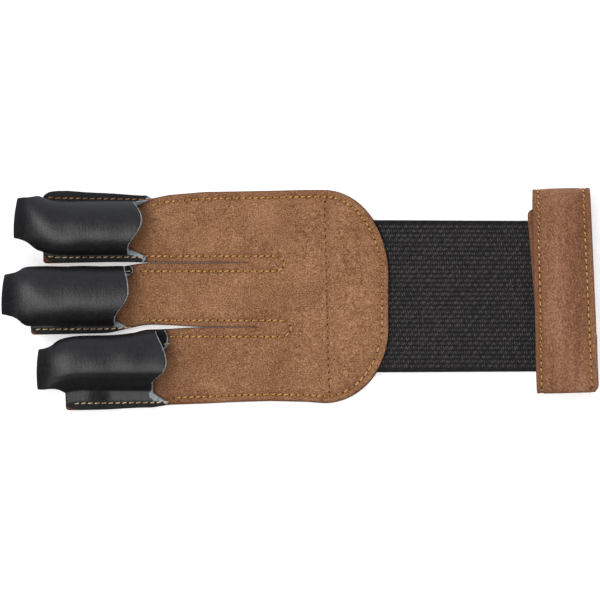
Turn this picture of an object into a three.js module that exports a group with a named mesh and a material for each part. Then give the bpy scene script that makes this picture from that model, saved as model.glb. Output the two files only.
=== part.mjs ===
// Three-finger archery glove for the right hand, lying with its finger pads up.
// Millimetres, +Z up. Fingers point to -X, the wrist strap is at +X, and the index finger is at +Y.
// The pieces are laid out from the wrist end of the hand panel, and the glove is centred at the end.

import * as THREE from 'three';
import { mergeVertices } from 'three/addons/utils/BufferGeometryUtils.js';

const { clamp, degToRad, lerp, smoothstep } = THREE.MathUtils;

// Leather, elastic and tape
const suedeWall = 1.3;
const stallWall = 1.5;
const elasticWall = 1.2;
const tapeWall = 1.0;
const gap = 0.3;

// Hand panel, two layers of suede
const panelLength = 79.0;
const panelWidth = 70.4;
const cornerRun = 21.7;
const indexCorner = 28.3;
const ringCorner = 24.7;
const slitLength = 32.7;
const slitGap = 0.35;
const layerInset = 0.3;
const stepRun = 2.6;

// Fingers, as strips of the panel and the stalls on them
const fingerReach = 129.2;
const fingerPitch = 24.2;
const stripWidth = 24.0;
const stripTaper = 0.07;
const stallLength = 42.4;
const bulgeWidth = 18.4;
const bulgeRise = 14.7;
const bulgeSweep = degToRad(108);
const foldRadius = 1.15;
const tipWidth = 14.9;
const tipHeight = 9.2;
const tipDepth = 3.2;
const tipToFlange = 9.7;
const shoulderRun = 15.5;
const tongueLength = 16.0;
const rampRun = 9.0;
const rearNotch = 4.6;
const flangeTail = 1.4;
const flangeFront = 2.9;
const rearRound = 1.1;

// Elastic band
const elasticWidth = 50.8;
const elasticSpan = 48.3;
const elasticLap = 19.4;
const elasticTuck = 13.5;
const elasticSag = 1.0;

// Wrist strap
const strapLength = 68.1;
const strapWidth = 20.0;
const strapShift = 1.8;
const strapTurn = degToRad(1.5);
const strapOpening = 5.4;
const innerEndShort = 6.3;
const strapCorner = 2.6;

// Closure tapes
const tapeWidth = 19.0;
const loopLength = 31.0;
const hookLength = 14.6;
const tapeInset = 4.4;

// Share of the arch to each side that stays a plain crown where a stall has an apron
const crownShare = 0.2;

// Heights of the layers above the surface
const panelHalf = panelWidth / 2;
const innerLayer = suedeWall + gap;
const panelTop = innerLayer + suedeWall;
const elasticLevel = suedeWall + gap;
const panelRaise = elasticWall + gap;
const tongueLift = stallWall + gap;
const loopInside = elasticLevel + elasticWall + strapOpening;

// Each finger's shares: reach of fingerReach, across of fingerPitch, strip and tipShift of stripWidth,
// length of stallLength, bulge and lean of bulgeWidth. The crest is where the rear edge reaches
// furthest back, as a share of the arch to the index side; skew turns the fingertip's fold.
const fingers = [
  { name: 'index_stall', reach: 0.968, across: 0.938, strip: 1.0, length: 1.01, bulge: 0.99,
    lean: 0.0, tipShift: 0.138, skew: 0.1, crest: 0.16, notch: 0.62 },
  { name: 'middle_stall', reach: 1.0, across: -0.062, strip: 0.965, length: 1.002, bulge: 1.0,
    lean: 0.125, tipShift: -0.01, skew: 0.075, crest: 0.04, notch: 0.3 },
  { name: 'ring_stall', reach: 0.91, across: -1.087, strip: 1.0, length: 1.026, bulge: 0.93,
    lean: 0.23, tipShift: -0.097, skew: 0.025, crest: 0.0, notch: 0.75 },
];

// How each stall's sides have worn, in the same order. The index side swells by a share of bulgeWidth,
// in full after swellRun of stallLength, and its flange flares or it doesn't. The ring side is pinched
// in at its foot, or runs out in an apron. Tails are shares of flangeTail, ringFront of flangeFront.
const sides = [
  { swell: 0.0, swellRun: 0.5, flare: 1, pinch: 0.0, apron: 0,
    indexTail: 1.93, ringTail: 0.93, ringFront: 2.8 },
  { swell: 0.087, swellRun: 0.24, flare: 0, pinch: 0.03, apron: 0,
    indexTail: 1.14, ringTail: 0.14, ringFront: 1.9 },
  { swell: 0.158, swellRun: 0.21, flare: 0, pinch: 0.0, apron: 1,
    indexTail: 0.43, ringTail: 0.36, ringFront: 1.9 },
];

// Flare of a flange beyond its strip: a share of stallLength behind the fingertip, and of stripWidth
const flangeFlare = [
  { along: 0.23, out: 0.004 },
  { along: 0.33, out: 0.029 },
  { along: 0.425, out: 0.035 },
  { along: 0.565, out: 0.021 },
  { along: 0.73, out: 0.015 },
  { along: 0.9, out: 0.023 },
  { along: 1.06, out: 0.038 },
];

// An apron, from where the leather leaves the crown to the flange: shares of the way across the
// leather, of the way out to the side, and of the way down
const apronShape = [
  { along: 0.0, side: 0.0, drop: 0.0 },
  { along: 0.082, side: 0.12, drop: 0.07 },
  { along: 0.177, side: 0.22, drop: 0.17 },
  { along: 0.282, side: 0.3, drop: 0.29 },
  { along: 0.39, side: 0.36, drop: 0.42 },
  { along: 0.493, side: 0.4, drop: 0.55 },
  { along: 0.58, side: 0.43, drop: 0.66 },
  { along: 0.652, side: 0.46, drop: 0.75 },
  { along: 0.701, side: 0.5, drop: 0.805 },
  { along: 0.742, side: 0.57, drop: 0.835 },
  { along: 0.797, side: 0.7, drop: 0.85 },
  { along: 0.865, side: 0.86, drop: 0.866 },
  { along: 0.909, side: 0.95, drop: 0.89 },
  { along: 1.0, side: 1.0, drop: 1.0 },
];

// Outer edges of the panel: a share of panelLength from the finger end, and shares of half the width
const panelEdges = [
  { along: 0.0, index: 0.928, ring: 1.055 },
  { along: 0.07, index: 0.96, ring: 1.03 },
  { along: 0.22, index: 0.989, ring: 1.018 },
  { along: 0.36, index: 0.994, ring: 1.003 },
  { along: 0.5, index: 1.0, ring: 0.994 },
  { along: 0.65, index: 1.008, ring: 1.002 },
  { along: 0.73, index: 1.008, ring: 1.015 },
];

// Slits between the fingers: shares of panelWidth across, of slitLength along, and of slitGap open
const slits = [
  { across: 0.159, length: 1.0, open: 1.0 },
  { across: -0.146, length: 1.08, open: 5.2 },
];

// A stall's free edge in front of its flange: a share of tipToFlange, how far it has grown from the
// tip's width to the bulge's, and how far the leather has bent down there, as a share of 90 degrees
const tipShape = [
  { along: 0.0, width: 0.0, bend: 0.24 },
  { along: 0.34, width: 0.33, bend: 0.5 },
  { along: 0.52, width: 0.62, bend: 0.74 },
  { along: 0.7, width: 0.93, bend: 0.93 },
  { along: 0.86, width: 1.0, bend: 1.05 },
  { along: 1.0, width: 1.0, bend: 1.16 },
];

// The strap from its inner end round to its outer end: sideways shift and width, shares of strapWidth
const strapShape = [
  { along: 0.0, shift: -0.1, width: 0.97 },
  { along: 0.17, shift: 0.0, width: 0.98 },
  { along: 0.5, shift: -0.01, width: 0.99 },
  { along: 0.64, shift: -0.01, width: 0.95 },
  { along: 1.0, shift: 0.01, width: 1.04 },
];

const suede = new THREE.MeshStandardMaterial({ color: '#9a6c4e', roughness: 0.95, metalness: 0 });
const innerSuede = new THREE.MeshStandardMaterial({ color: '#a07252', roughness: 0.95, metalness: 0 });
const strapSuede = new THREE.MeshStandardMaterial({ color: '#946647', roughness: 0.93, metalness: 0 });
const smoothLeather = new THREE.MeshStandardMaterial({ color: '#2e2c2f', roughness: 0.5, metalness: 0 });
const elastic = new THREE.MeshStandardMaterial({ color: '#2a2828', roughness: 0.9, metalness: 0 });
const tape = new THREE.MeshStandardMaterial({ color: '#1d1c1d', roughness: 0.85, metalness: 0 });

// Value of a column of a table at one place along it
function tableAt(table, column, along) {
  if (along <= table[0].along) return table[0][column];
  for (let i = 1; i < table.length; i += 1) {
    const before = table[i - 1];
    const after = table[i];
    if (along <= after.along) {
      const share = (along - before.along) / (after.along - before.along);
      return lerp(before[column], after[column], share);
    }
  }
  return table[table.length - 1][column];
}

// Evenly spaced numbers, both ends included
function steps(from, to, count) {
  return Array.from({ length: count + 1 }, (_, i) => lerp(from, to, i / count));
}

// Adds the two triangles of a four-sided face, seen counter-clockwise from outside
function addFace(triangles, a, b, c, d) {
  triangles.push([a, b, c], [a, c, d]);
}

// One closed body from a list of triangles, without those that have no width
function meshOf(name, triangles, material) {
  const positions = [];
  for (const [a, b, c] of triangles) {
    const flat = a.distanceTo(b) < 1e-3 || b.distanceTo(c) < 1e-3 || c.distanceTo(a) < 1e-3;
    if (!flat) positions.push(...a.toArray(), ...b.toArray(), ...c.toArray());
  }
  let geometry = new THREE.BufferGeometry();
  geometry.setAttribute('position', new THREE.Float32BufferAttribute(positions, 3));
  geometry = mergeVertices(geometry, 1e-3);
  geometry.computeVertexNormals();
  const mesh = new THREE.Mesh(geometry, material);
  mesh.name = name;
  return mesh;
}

// A sheet with an upper and a lower grid of points, rows along it and columns across it to the left
function sheetTriangles(upper, lower) {
  const triangles = [];
  const lastRow = upper.length - 1;
  const lastColumn = upper[0].length - 1;
  for (let i = 0; i < lastRow; i += 1) {
    for (let j = 0; j < lastColumn; j += 1) {
      addFace(triangles, upper[i][j], upper[i + 1][j], upper[i + 1][j + 1], upper[i][j + 1]);
      addFace(triangles, lower[i][j], lower[i][j + 1], lower[i + 1][j + 1], lower[i + 1][j]);
    }
    addFace(triangles, lower[i][0], lower[i + 1][0], upper[i + 1][0], upper[i][0]);
    addFace(triangles, upper[i][lastColumn], upper[i + 1][lastColumn],
      lower[i + 1][lastColumn], lower[i][lastColumn]);
  }
  for (let j = 0; j < lastColumn; j += 1) {
    addFace(triangles, upper[0][j], upper[0][j + 1], lower[0][j + 1], lower[0][j]);
    addFace(triangles, lower[lastRow][j], lower[lastRow][j + 1],
      upper[lastRow][j + 1], upper[lastRow][j]);
  }
  return triangles;
}

const tipX = (finger) => -fingerReach * finger.reach;
const stripCentre = (finger) => fingerPitch * finger.across;
const stripHalf = (finger) => (stripWidth * finger.strip) / 2;

// How far the tongue under a fingertip lifts the strip that lies on it
const rampStart = tongueLength + gap;
const rampStations = steps(rampStart, rampStart + rampRun, 4);

function stripLift(finger, x) {
  const behind = x - tipX(finger);
  return tongueLift * (1 - smoothstep(behind, rampStart, rampStart + rampRun));
}

// Edges of the hand panel across its length, to the index side and to the ring side
function panelEdge(side, x, inset) {
  const along = (x + panelLength) / panelLength;
  const into = clamp((x + cornerRun) / (cornerRun - inset), 0, 1);
  const corner = side === 'index' ? indexCorner : ringCorner;
  const rounded = corner * (1 - Math.sqrt(Math.max(0, 1 - into * into)));
  const reach = panelHalf * tableAt(panelEdges, side, along) - inset - rounded;
  return side === 'index' ? reach : -reach;
}

// Middle line of a slit, which becomes a share of the panel's width past the slit's end
function slitLine(index, x, inset) {
  const end = slits[index].length * slitLength - panelLength;
  const line = panelWidth * slits[index].across;
  if (x <= end) return line;
  const endSpan = panelEdge('index', end, inset) - panelEdge('ring', end, inset);
  const share = (panelEdge('index', end, inset) - line) / endSpan;
  return lerp(panelEdge('index', x, inset), panelEdge('ring', x, inset), share);
}

function slitHalfGap(index, x) {
  const { length, open } = slits[index];
  const share = clamp((x + panelLength) / (length * slitLength), 0, 1);
  return (slitGap / 2) * (1 + (open - 1) * (1 - smoothstep(share, 0, 0.5))) * (1 - share ** 4);
}

// The two side edges of one finger's strip, from the fingertip to the wrist end of the panel
function stripEdges(fingerIndex, x, inset) {
  const finger = fingers[fingerIndex];
  const joined = smoothstep(x, -panelLength - stripWidth * 0.7, -panelLength);
  const taper = 1 - stripTaper * clamp((x - tipX(finger)) / (panelLength / 2), 0, 1);
  const half = stripHalf(finger) * taper - inset;
  const upperLine = fingerIndex === 0
    ? panelEdge('index', x, inset)
    : slitLine(fingerIndex - 1, x, inset) - slitHalfGap(fingerIndex - 1, x);
  const lowerLine = fingerIndex === fingers.length - 1
    ? panelEdge('ring', x, inset)
    : slitLine(fingerIndex, x, inset) + slitHalfGap(fingerIndex, x);
  return {
    upper: lerp(stripCentre(finger) + half, upperLine, joined),
    lower: lerp(stripCentre(finger) - half, lowerLine, joined),
  };
}

// The inner layer rises over the end of the elastic
function elasticRaise(x, y) {
  const along = smoothstep(x, -elasticLap - stepRun, -elasticLap);
  const edge = elasticWidth / 2 + stepRun;
  const across = 1 - smoothstep(Math.abs(y), edge, edge + 1.7 * stepRun);
  return panelRaise * along * across;
}

// One layer of the hand panel with its three finger strips
function panelLayer(name, level, inset, raise, material) {
  const front = -panelLength;
  const end = -inset;
  const slitEnds = slits.map((slit) => front + slit.length * slitLength);
  const corner = [0, 16, 30, 43, 55, 66, 76, 84, 90]
    .map((angle) => -cornerRun + (cornerRun - inset) * Math.sin(degToRad(angle)));
  const shared = [
    ...steps(front, slitEnds[0], 5), slitEnds[1],
    ...steps(slitEnds[1], -elasticLap - stepRun, 3).slice(1),
    -elasticLap - stepRun / 2, -elasticLap, ...corner,
  ].sort((a, b) => a - b).filter((x, i, all) => i === 0 || x - all[i - 1] > 0.2 || x === end);
  const edgeBand = [0, 0.17, 0.38];
  const triangles = [];

  fingers.forEach((finger, k) => {
    const start = tipX(finger) + tipToFlange + inset;
    const ramp = rampStations.map((behind) => tipX(finger) + behind);
    const rows = [start, ...ramp, ...steps(ramp[ramp.length - 1], front, 5).slice(1), ...shared.slice(1)];
    const shares = k === 0 ? [...edgeBand, 1] : [0, 0.5, 1];
    const columns = k === 2 ? [...edgeBand, 1].map((share) => 1 - share).reverse() : shares;
    const at = (x, share, height) => {
      const edges = stripEdges(k, x, inset);
      const y = lerp(edges.upper, edges.lower, share);
      const z = level + stripLift(finger, x) + (raise ? elasticRaise(x, y) : 0) + height;
      return new THREE.Vector3(x, y, z);
    };
    const top = rows.map((x) => columns.map((share) => at(x, share, suedeWall)));
    const bottom = rows.map((x) => columns.map((share) => at(x, share, 0)));
    const last = columns.length - 1;
    for (let i = 0; i < rows.length - 1; i += 1) {
      for (let j = 0; j < last; j += 1) {
        addFace(triangles, top[i][j], top[i][j + 1], top[i + 1][j + 1], top[i + 1][j]);
        addFace(triangles, bottom[i][j], bottom[i + 1][j], bottom[i + 1][j + 1], bottom[i][j + 1]);
      }
      const openAbove = k === 0 || rows[i] < slitEnds[k - 1] - 1e-6;
      const openBelow = k === fingers.length - 1 || rows[i] < slitEnds[k] - 1e-6;
      if (openAbove) addFace(triangles, top[i][0], top[i + 1][0], bottom[i + 1][0], bottom[i][0]);
      if (openBelow) {
        addFace(triangles, bottom[i][last], bottom[i + 1][last], top[i + 1][last], top[i][last]);
      }
    }
    const wrist = rows.length - 1;
    for (let j = 0; j < last; j += 1) {
      addFace(triangles, top[0][j], bottom[0][j], bottom[0][j + 1], top[0][j + 1]);
      addFace(triangles, top[wrist][j], top[wrist][j + 1], bottom[wrist][j + 1], bottom[wrist][j]);
    }
  });
  return meshOf(name, triangles, material);
}

// The bent leather of a stall, before it has a thickness: s runs from the tongue's end (-2) under the
// tip (-1 to 0) and over it to the shoulder (1) and the rear (2), and q goes across the leather from
// the crown, to the index side if positive
function stallSurface(finger, index) {
  const worn = sides[index];
  const radius = (bulgeWidth * finger.bulge - stallWall) / 2;
  const archLength = radius * bulgeSweep;
  const foldEnd = archLength + foldRadius * bulgeSweep;
  const base = (radius + foldRadius) * Math.sin(bulgeSweep);
  const depth = (radius + foldRadius) * (1 - Math.cos(bulgeSweep));
  const blankHalf = foldEnd + stripHalf(finger) - base;
  const length = stallLength * finger.length;
  const half = stallWall / 2;
  const front = tipHeight / 2;
  const tip = (tipWidth - stallWall) / 2;

  // Radius of the arch at one place along, and how far the leather reaches there to each side
  function archAt(x) {
    const along = (x - half) / (tipToFlange - half);
    const bend = (tableAt(tipShape, 'bend', along) * Math.PI) / 2;
    const reach = lerp(tip, radius, tableAt(tipShape, 'width', along));
    const r = bend < Math.PI / 2 ? reach / Math.sin(bend) : radius;
    if (x <= tipToFlange + 1e-6) return { r, indexEdge: r * bend, ringEdge: r * bend };
    const [indexEdge, ringEdge] = [flangeFront, flangeFront * worn.ringFront].map((run) => {
      const past = clamp((x - tipToFlange) / run, 0, 1);
      return lerp(foldEnd, blankHalf, Math.sqrt(1 - (1 - past) ** 2));
    });
    return { r, indexEdge, ringEdge };
  }

  // Crown line in the plane along the finger, with the tilt of its outward side from straight up
  function crown(s) {
    if (s < -1) return { x: tipDepth - (s + 1) * (tongueLength - tipDepth), z: half, tilt: Math.PI };
    if (s > 1) return { x: lerp(shoulderRun, length, s - 1), z: bulgeRise - half, tilt: 0 };
    const run = (s < 0 ? tipDepth : shoulderRun) - half;
    const rise = s < 0 ? front - half : bulgeRise - half - front;
    const angle = (s * Math.PI) / 2;
    return {
      x: half + run * (1 - Math.cos(angle)),
      z: front + rise * Math.sin(angle),
      tilt: Math.atan2(rise * Math.cos(angle), run * Math.sin(angle)),
    };
  }

  // Place on the crown line that lies this far behind the fingertip
  function crownAt(x) {
    if (x > shoulderRun) return 1 + (x - shoulderRun) / (length - shoulderRun);
    return Math.acos(1 - (x - half) / (shoulderRun - half)) / (Math.PI / 2);
  }

  // Rear edge across the leather: forward at the sides of the bulge, back at the flanges
  function rearShift(q) {
    const fromCrest = q - finger.crest * archLength;
    const notch = rearNotch * (fromCrest > 0 ? finger.notch : 1);
    const share = clamp(Math.abs(fromCrest) / (foldEnd * 0.55), 0, 1);
    const tail = flangeTail * (q > 0 ? worn.indexTail : worn.ringTail);
    const back = smoothstep(Math.abs(q), archLength * 0.98, lerp(foldEnd, blankHalf, 0.3));
    const rounded = rearRound * smoothstep(Math.abs(q), lerp(foldEnd, blankHalf, 0.6), blankHalf);
    return lerp(-notch * Math.sin((Math.PI / 2) * share) ** 2, tail, back) - rounded;
  }

  function point(s, q) {
    const line = crown(s);
    const formed = s < 0 ? 0 : smoothstep(line.x, half, tipToFlange);
    const underStall = tipX(finger) + Math.max(line.x, tipToFlange);
    const floor = panelTop + stripLift(finger, underStall) + gap + half;
    const scale = lerp(0.4, (line.z - floor) / depth, formed);
    const arch = archAt(s < 0 ? half : line.x);
    const r = s < 0 ? arch.r / Math.max(1 + s, 0.02) : arch.r;
    const sign = Math.sign(q);
    const across = Math.abs(q);
    let side = r * Math.sin(across / r);
    let drop = scale * r * (1 - Math.cos(across / r));
    if (across > archLength && r === radius) {
      const left = bulgeSweep - Math.min((across - archLength) / foldRadius, bulgeSweep);
      const down = (radius + foldRadius) * Math.cos(bulgeSweep) - radius - foldRadius * Math.cos(left);
      side = base - foldRadius * Math.sin(left);
      drop = -scale * down;
    }
    const share = Math.min(across / foldEnd, 1);
    let foot = base;
    if (sign > 0) {
      const full = Math.sin((Math.PI / 2) * clamp(line.x / (stallLength * worn.swellRun), 0, 1));
      side += bulgeWidth * worn.swell * formed * full * Math.sin(Math.PI * share ** 1.4);
    } else {
      if (worn.apron > 0 && across > archLength * crownShare) {
        const from = (archLength * crownShare) / r;
        const into = clamp((across / r - from) / (foldEnd / r - from), 0, 1);
        const out = lerp(r * Math.sin(from), base, tableAt(apronShape, 'side', into));
        const low = lerp(r * (1 - Math.cos(from)), depth, tableAt(apronShape, 'drop', into));
        side = lerp(side, out, worn.apron * formed);
        drop = lerp(drop, scale * low, worn.apron * formed);
      }
      side *= 1 - worn.pinch * formed * share ** 3;
      foot = base * (1 - worn.pinch * formed);
    }
    const lowered = formed * clamp(drop / (scale * depth), 0, 1);
    const middle = stripCentre(finger) + bulgeWidth * finger.lean * (1 - lowered)
      + stripWidth * finger.tipShift * (1 - smoothstep(line.x, half, shoulderRun));
    if (across > foldEnd) {
      const edges = stripEdges(index, underStall, 0);
      const flare = stripWidth * worn.flare * tableAt(flangeFlare, 'out', line.x / stallLength);
      const outer = sign > 0 ? edges.upper + flare - middle : middle - edges.lower;
      side = lerp(foot, outer, (across - foldEnd) / (blankHalf - foldEnd));
    }
    const tilt = line.tilt * (1 - formed);
    const rear = s > 1 ? rearShift(q) * smoothstep(line.x, rampStart + rampRun, length) : 0;
    const skew = finger.skew * sign * side * (1 - clamp(line.x / tipToFlange, 0, 1));
    return new THREE.Vector3(
      tipX(finger) + line.x + rear + skew + drop * Math.sin(tilt),
      middle + sign * side,
      line.z - drop * Math.cos(tilt),
    );
  }

  return { point, archAt, crownAt, archLength, foldEnd, blankHalf, length };
}

// A finger stall: the bent leather thickened to both sides
function fingerStall(finger, index) {
  const { point, archAt, crownAt, archLength, foldEnd, blankHalf, length } = stallSurface(finger, index);
  const step = 1e-3;
  const across = [
    ...steps(0, archLength, 7), (archLength + foldEnd) / 2, foldEnd,
    lerp(foldEnd, blankHalf, 0.6), blankHalf,
  ];
  const columns = [...across.slice(1).map((q) => -q).reverse(), ...across];
  const tipEdge = archAt(0).indexEdge;
  const free = [0.13, 0.24, 0.4, 0.55, 0.7, 0.86, 1].map((share) => tipToFlange * share);
  const flangeCorner = [0.05, 0.6, 2].map((share) => tipToFlange + share * foldRadius);
  const rear = steps(rampStart + rampRun, length, 4).slice(1);
  const rows = [
    { s: -2, indexEdge: tipEdge * 0.6, ringEdge: tipEdge * 0.6 },
    ...[-1.9, -1.5, -1, -0.75, -0.5, -0.25, 0].map((s) => ({ s, indexEdge: tipEdge, ringEdge: tipEdge })),
    ...[...free, ...flangeCorner, shoulderRun, ...rampStations, ...rear]
      .map((x) => ({ s: crownAt(x), ...archAt(x) })),
  ];
  const grids = [1, -1].map((face) => rows.map(({ s, indexEdge, ringEdge }) => columns.map((q) => {
    const held = clamp(q, -ringEdge, indexEdge);
    const alongTangent = point(s + step, held).sub(point(s - step, held));
    const acrossTangent = point(s, held + step).sub(point(s, held - step));
    const normal = new THREE.Vector3().crossVectors(alongTangent, acrossTangent).normalize();
    return point(s, held).addScaledVector(normal, (face * stallWall) / 2);
  })));
  return meshOf(finger.name, sheetTriangles(grids[0], grids[1]), smoothLeather);
}

// Woven elastic, from inside the hand panel to inside the wrist strap
function elasticBand() {
  const from = -elasticLap + gap;
  const to = elasticSpan + elasticTuck;
  const columns = [-1, -0.5, 0, 0.5, 1];
  const stations = [from, ...steps(0, elasticSpan, 12), to];
  const at = (x, share, height) => {
    const swing = clamp((x - gap) / (elasticSpan - 4), 0, 1);
    const z = elasticLevel - elasticSag * Math.sin(Math.PI * swing) ** 2 + height;
    const narrowing = 1 - 0.01 * clamp(x / elasticSpan, 0, 1);
    return new THREE.Vector3(x, (elasticWidth / 2) * share * narrowing, z);
  };
  const upper = stations.map((x) => columns.map((share) => at(x, share, elasticWall)));
  const lower = stations.map((x) => columns.map((share) => at(x, share, 0)));
  return meshOf('elastic_band', sheetTriangles(upper, lower), elastic);
}

// Heights of the strap's upper layers, each above its middle line
const innerEndLevel = loopInside + suedeWall / 2;
const loopTapeLevel = loopInside + suedeWall + gap + tapeWall / 2;
const hookTapeLevel = loopTapeLevel + tapeWall + gap;
const outerEndLevel = hookTapeLevel + tapeWall / 2 + gap + suedeWall / 2;

// Middle line of the strap in the plane across the glove, from the inner end to the outer end
function strapPath() {
  const low = suedeWall / 2;
  const top = strapLength / 2;
  const path = [];
  const run = (fromY, toY, z, facing, count) => {
    steps(fromY, toY, count).forEach((y) => path.push({ y, z, angle: facing }));
  };
  const fold = (y, fromZ, toZ, side) => {
    const radius = Math.abs(toZ - fromZ) / 2;
    steps(0, Math.PI, 9).slice(1, -1).forEach((turn) => path.push({
      y: y + side * radius * Math.sin(turn),
      z: (fromZ + toZ) / 2 + ((fromZ - toZ) / 2) * Math.cos(turn),
      angle: (fromZ > toZ ? 0 : Math.PI) + turn,
    }));
  };
  const ringFold = -top + innerEndLevel / 2 + low / 2;
  const indexFold = top - outerEndLevel / 2 - low / 2;
  const corner = strapCorner * 0.3;
  path.push({ y: top - innerEndShort, z: innerEndLevel, angle: 0 });
  path.push({ y: top - innerEndShort - corner, z: innerEndLevel, angle: 0 });
  run(top - innerEndShort - strapCorner, ringFold, innerEndLevel, 0, 5);
  fold(ringFold, innerEndLevel, low, -1);
  run(ringFold, indexFold, low, Math.PI, 6);
  fold(indexFold, low, outerEndLevel, 1);
  run(indexFold, -top + strapCorner, outerEndLevel, Math.PI * 2, 7);
  path.push({ y: -top + corner, z: outerEndLevel, angle: 0 });
  path.push({ y: -top, z: outerEndLevel, angle: 0 });
  return path;
}

function wristStrap() {
  const path = strapPath();
  const lengths = [0];
  for (let i = 1; i < path.length; i += 1) {
    lengths.push(lengths[i - 1] + Math.hypot(path[i].y - path[i - 1].y, path[i].z - path[i - 1].z));
  }
  const total = lengths[lengths.length - 1];
  const grids = [1, -1].map((face) => path.map(({ y, z, angle }, i) => {
    const along = lengths[i] / total;
    const toEnd = Math.min(lengths[i], total - lengths[i], strapCorner) / strapCorner;
    const cut = strapCorner * (1 - Math.sqrt(1 - (1 - toEnd) ** 2));
    const half = (strapWidth * tableAt(strapShape, 'width', along)) / 2 - cut;
    const middle = strapWidth * tableAt(strapShape, 'shift', along);
    const out = (face * suedeWall) / 2;
    return [-1, 1].map((side) => new THREE.Vector3(
      middle + side * half,
      y - out * Math.sin(angle),
      z + out * Math.cos(angle),
    ));
  }));
  return meshOf('wrist_strap', sheetTriangles(grids[0], grids[1]), strapSuede);
}

function closureTape(name, length, level, sideways) {
  const mesh = new THREE.Mesh(new THREE.BoxGeometry(tapeWidth, length, tapeWall), tape);
  mesh.name = name;
  mesh.position.set(sideways, -strapLength / 2 + tapeInset + length / 2, level);
  return mesh;
}

const wrist = new THREE.Group();
wrist.position.set(elasticSpan + strapWidth / 2, strapShift, 0);
wrist.rotation.z = strapTurn;
wrist.add(
  wristStrap(),
  closureTape('loop_tape', loopLength, loopTapeLevel, 0),
  closureTape('hook_tape', hookLength, hookTapeLevel, tapeWidth * 0.05),
);

const glove = new THREE.Group();
glove.add(
  panelLayer('panel_outer', 0, 0, false, suede),
  panelLayer('panel_inner', innerLayer, layerInset, true, innerSuede),
  elasticBand(),
  ...fingers.map(fingerStall),
  wrist,
);

// Centres the glove on its box, standing on the surface
glove.updateMatrixWorld(true);
const box = new THREE.Box3().setFromObject(glove, true);
const centre = box.getCenter(new THREE.Vector3());
glove.position.set(-centre.x, -centre.y, -box.min.z);

export default glove;
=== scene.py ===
# Three-finger archery glove for the right hand, lying with its finger pads up: two layers of suede
# with a stall of black leather on each finger strip, a woven elastic, and a wrist strap of suede.
import math
import bmesh
import bpy
from mathutils import Matrix, Vector, kdtree, noise


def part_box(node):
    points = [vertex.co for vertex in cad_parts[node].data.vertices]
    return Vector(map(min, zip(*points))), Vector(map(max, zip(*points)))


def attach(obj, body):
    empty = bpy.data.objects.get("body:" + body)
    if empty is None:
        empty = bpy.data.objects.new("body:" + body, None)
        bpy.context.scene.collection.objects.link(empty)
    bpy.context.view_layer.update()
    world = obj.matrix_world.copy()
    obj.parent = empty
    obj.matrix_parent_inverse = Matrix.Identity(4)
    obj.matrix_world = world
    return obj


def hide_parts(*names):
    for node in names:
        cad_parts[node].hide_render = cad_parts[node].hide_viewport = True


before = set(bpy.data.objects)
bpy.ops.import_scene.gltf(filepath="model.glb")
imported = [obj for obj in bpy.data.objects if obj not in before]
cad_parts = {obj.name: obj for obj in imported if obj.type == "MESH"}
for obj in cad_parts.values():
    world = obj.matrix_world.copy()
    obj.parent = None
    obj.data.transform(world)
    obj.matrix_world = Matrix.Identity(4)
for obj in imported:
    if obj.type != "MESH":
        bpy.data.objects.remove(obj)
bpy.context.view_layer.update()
scene = bpy.context.scene

# Sizes are millimetres, laid out from the wrist end of the hand panel with the fingers towards -X
# and the index finger at +Y. A finished mesh moves by layoutShift into the frame.
mm = 0.001
bandLow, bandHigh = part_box("elastic_band")
layoutShift = Vector((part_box("panel_outer")[1][0], (bandLow[1] + bandHigh[1]) / 2, 0)) / mm
wall = {"suede": 1.3, "stall": 1.5, "elastic": 1.2, "tape": 1.0, "gap": 0.3}


def clamp(value, low, high):
    return min(max(value, low), high)


def mix(first, second, share):
    return first + (second - first) * share


def smooth(value, low, high):
    share = clamp((value - low) / (high - low), 0, 1)
    return share * share * (3 - 2 * share)


def steps(first, last, count):
    return [mix(first, last, i / count) for i in range(count + 1)]


def spaced(first, last, step):
    return steps(first, last, max(1, math.ceil(abs(last - first) / step)))


def tableAt(table, column, along):
    if along <= table[0]["along"]:
        return table[0][column]
    for before, after in zip(table, table[1:]):
        if along <= after["along"]:
            share = (along - before["along"]) / (after["along"] - before["along"])
            return mix(before[column], after[column], share)
    return table[-1][column]


# Distance in plan from a place to the nearest of many points
def distanceTo(points):
    tree = kdtree.KDTree(len(points))
    for index, (x, y) in enumerate(points):
        tree.insert((x, y, 0), index)
    tree.balance()
    return lambda x, y: tree.find((x, y, 0))[2]


# How full the thickness of a piece of leather is this far in from its cut edge
def rimFullness(away, look):
    into = clamp(away / look["rimRound"], 0, 1)
    return mix(look["rimFlat"], 1, math.sqrt(1 - (1 - into) ** 2))


# One closed mesh from points in layout millimetres and (corners, finish number) faces
def makePiece(name, points, faces, finishes, marks=None):
    shape = bmesh.new()
    layers = {mark: shape.verts.layers.float.new(mark) for mark in marks or {}}
    corners = [shape.verts.new(point) for point in points]
    for mark, layer in layers.items():
        for vert, value in zip(corners, marks[mark]):
            vert[layer] = value
    for loop, finish in faces:
        kept = []
        for corner in loop:
            if all((points[corner] - points[other]).length > 2e-3 for other in kept):
                kept.append(corner)
        if len(kept) > 2:
            face = shape.faces.new([corners[corner] for corner in kept])
            face.material_index = finish
            face.smooth = True
    bmesh.ops.remove_doubles(shape, verts=shape.verts[:], dist=2e-3)
    bmesh.ops.delete(shape, geom=[v for v in shape.verts if not v.link_faces], context="VERTS")
    for vert in shape.verts:
        vert.co = (vert.co + layoutShift) * mm
    mesh = bpy.data.meshes.new(name)
    shape.to_mesh(mesh)
    shape.free()
    for finish in finishes:
        mesh.materials.append(finish)
    piece = bpy.data.objects.new(name, mesh)
    scene.collection.objects.link(piece)
    return piece


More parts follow.
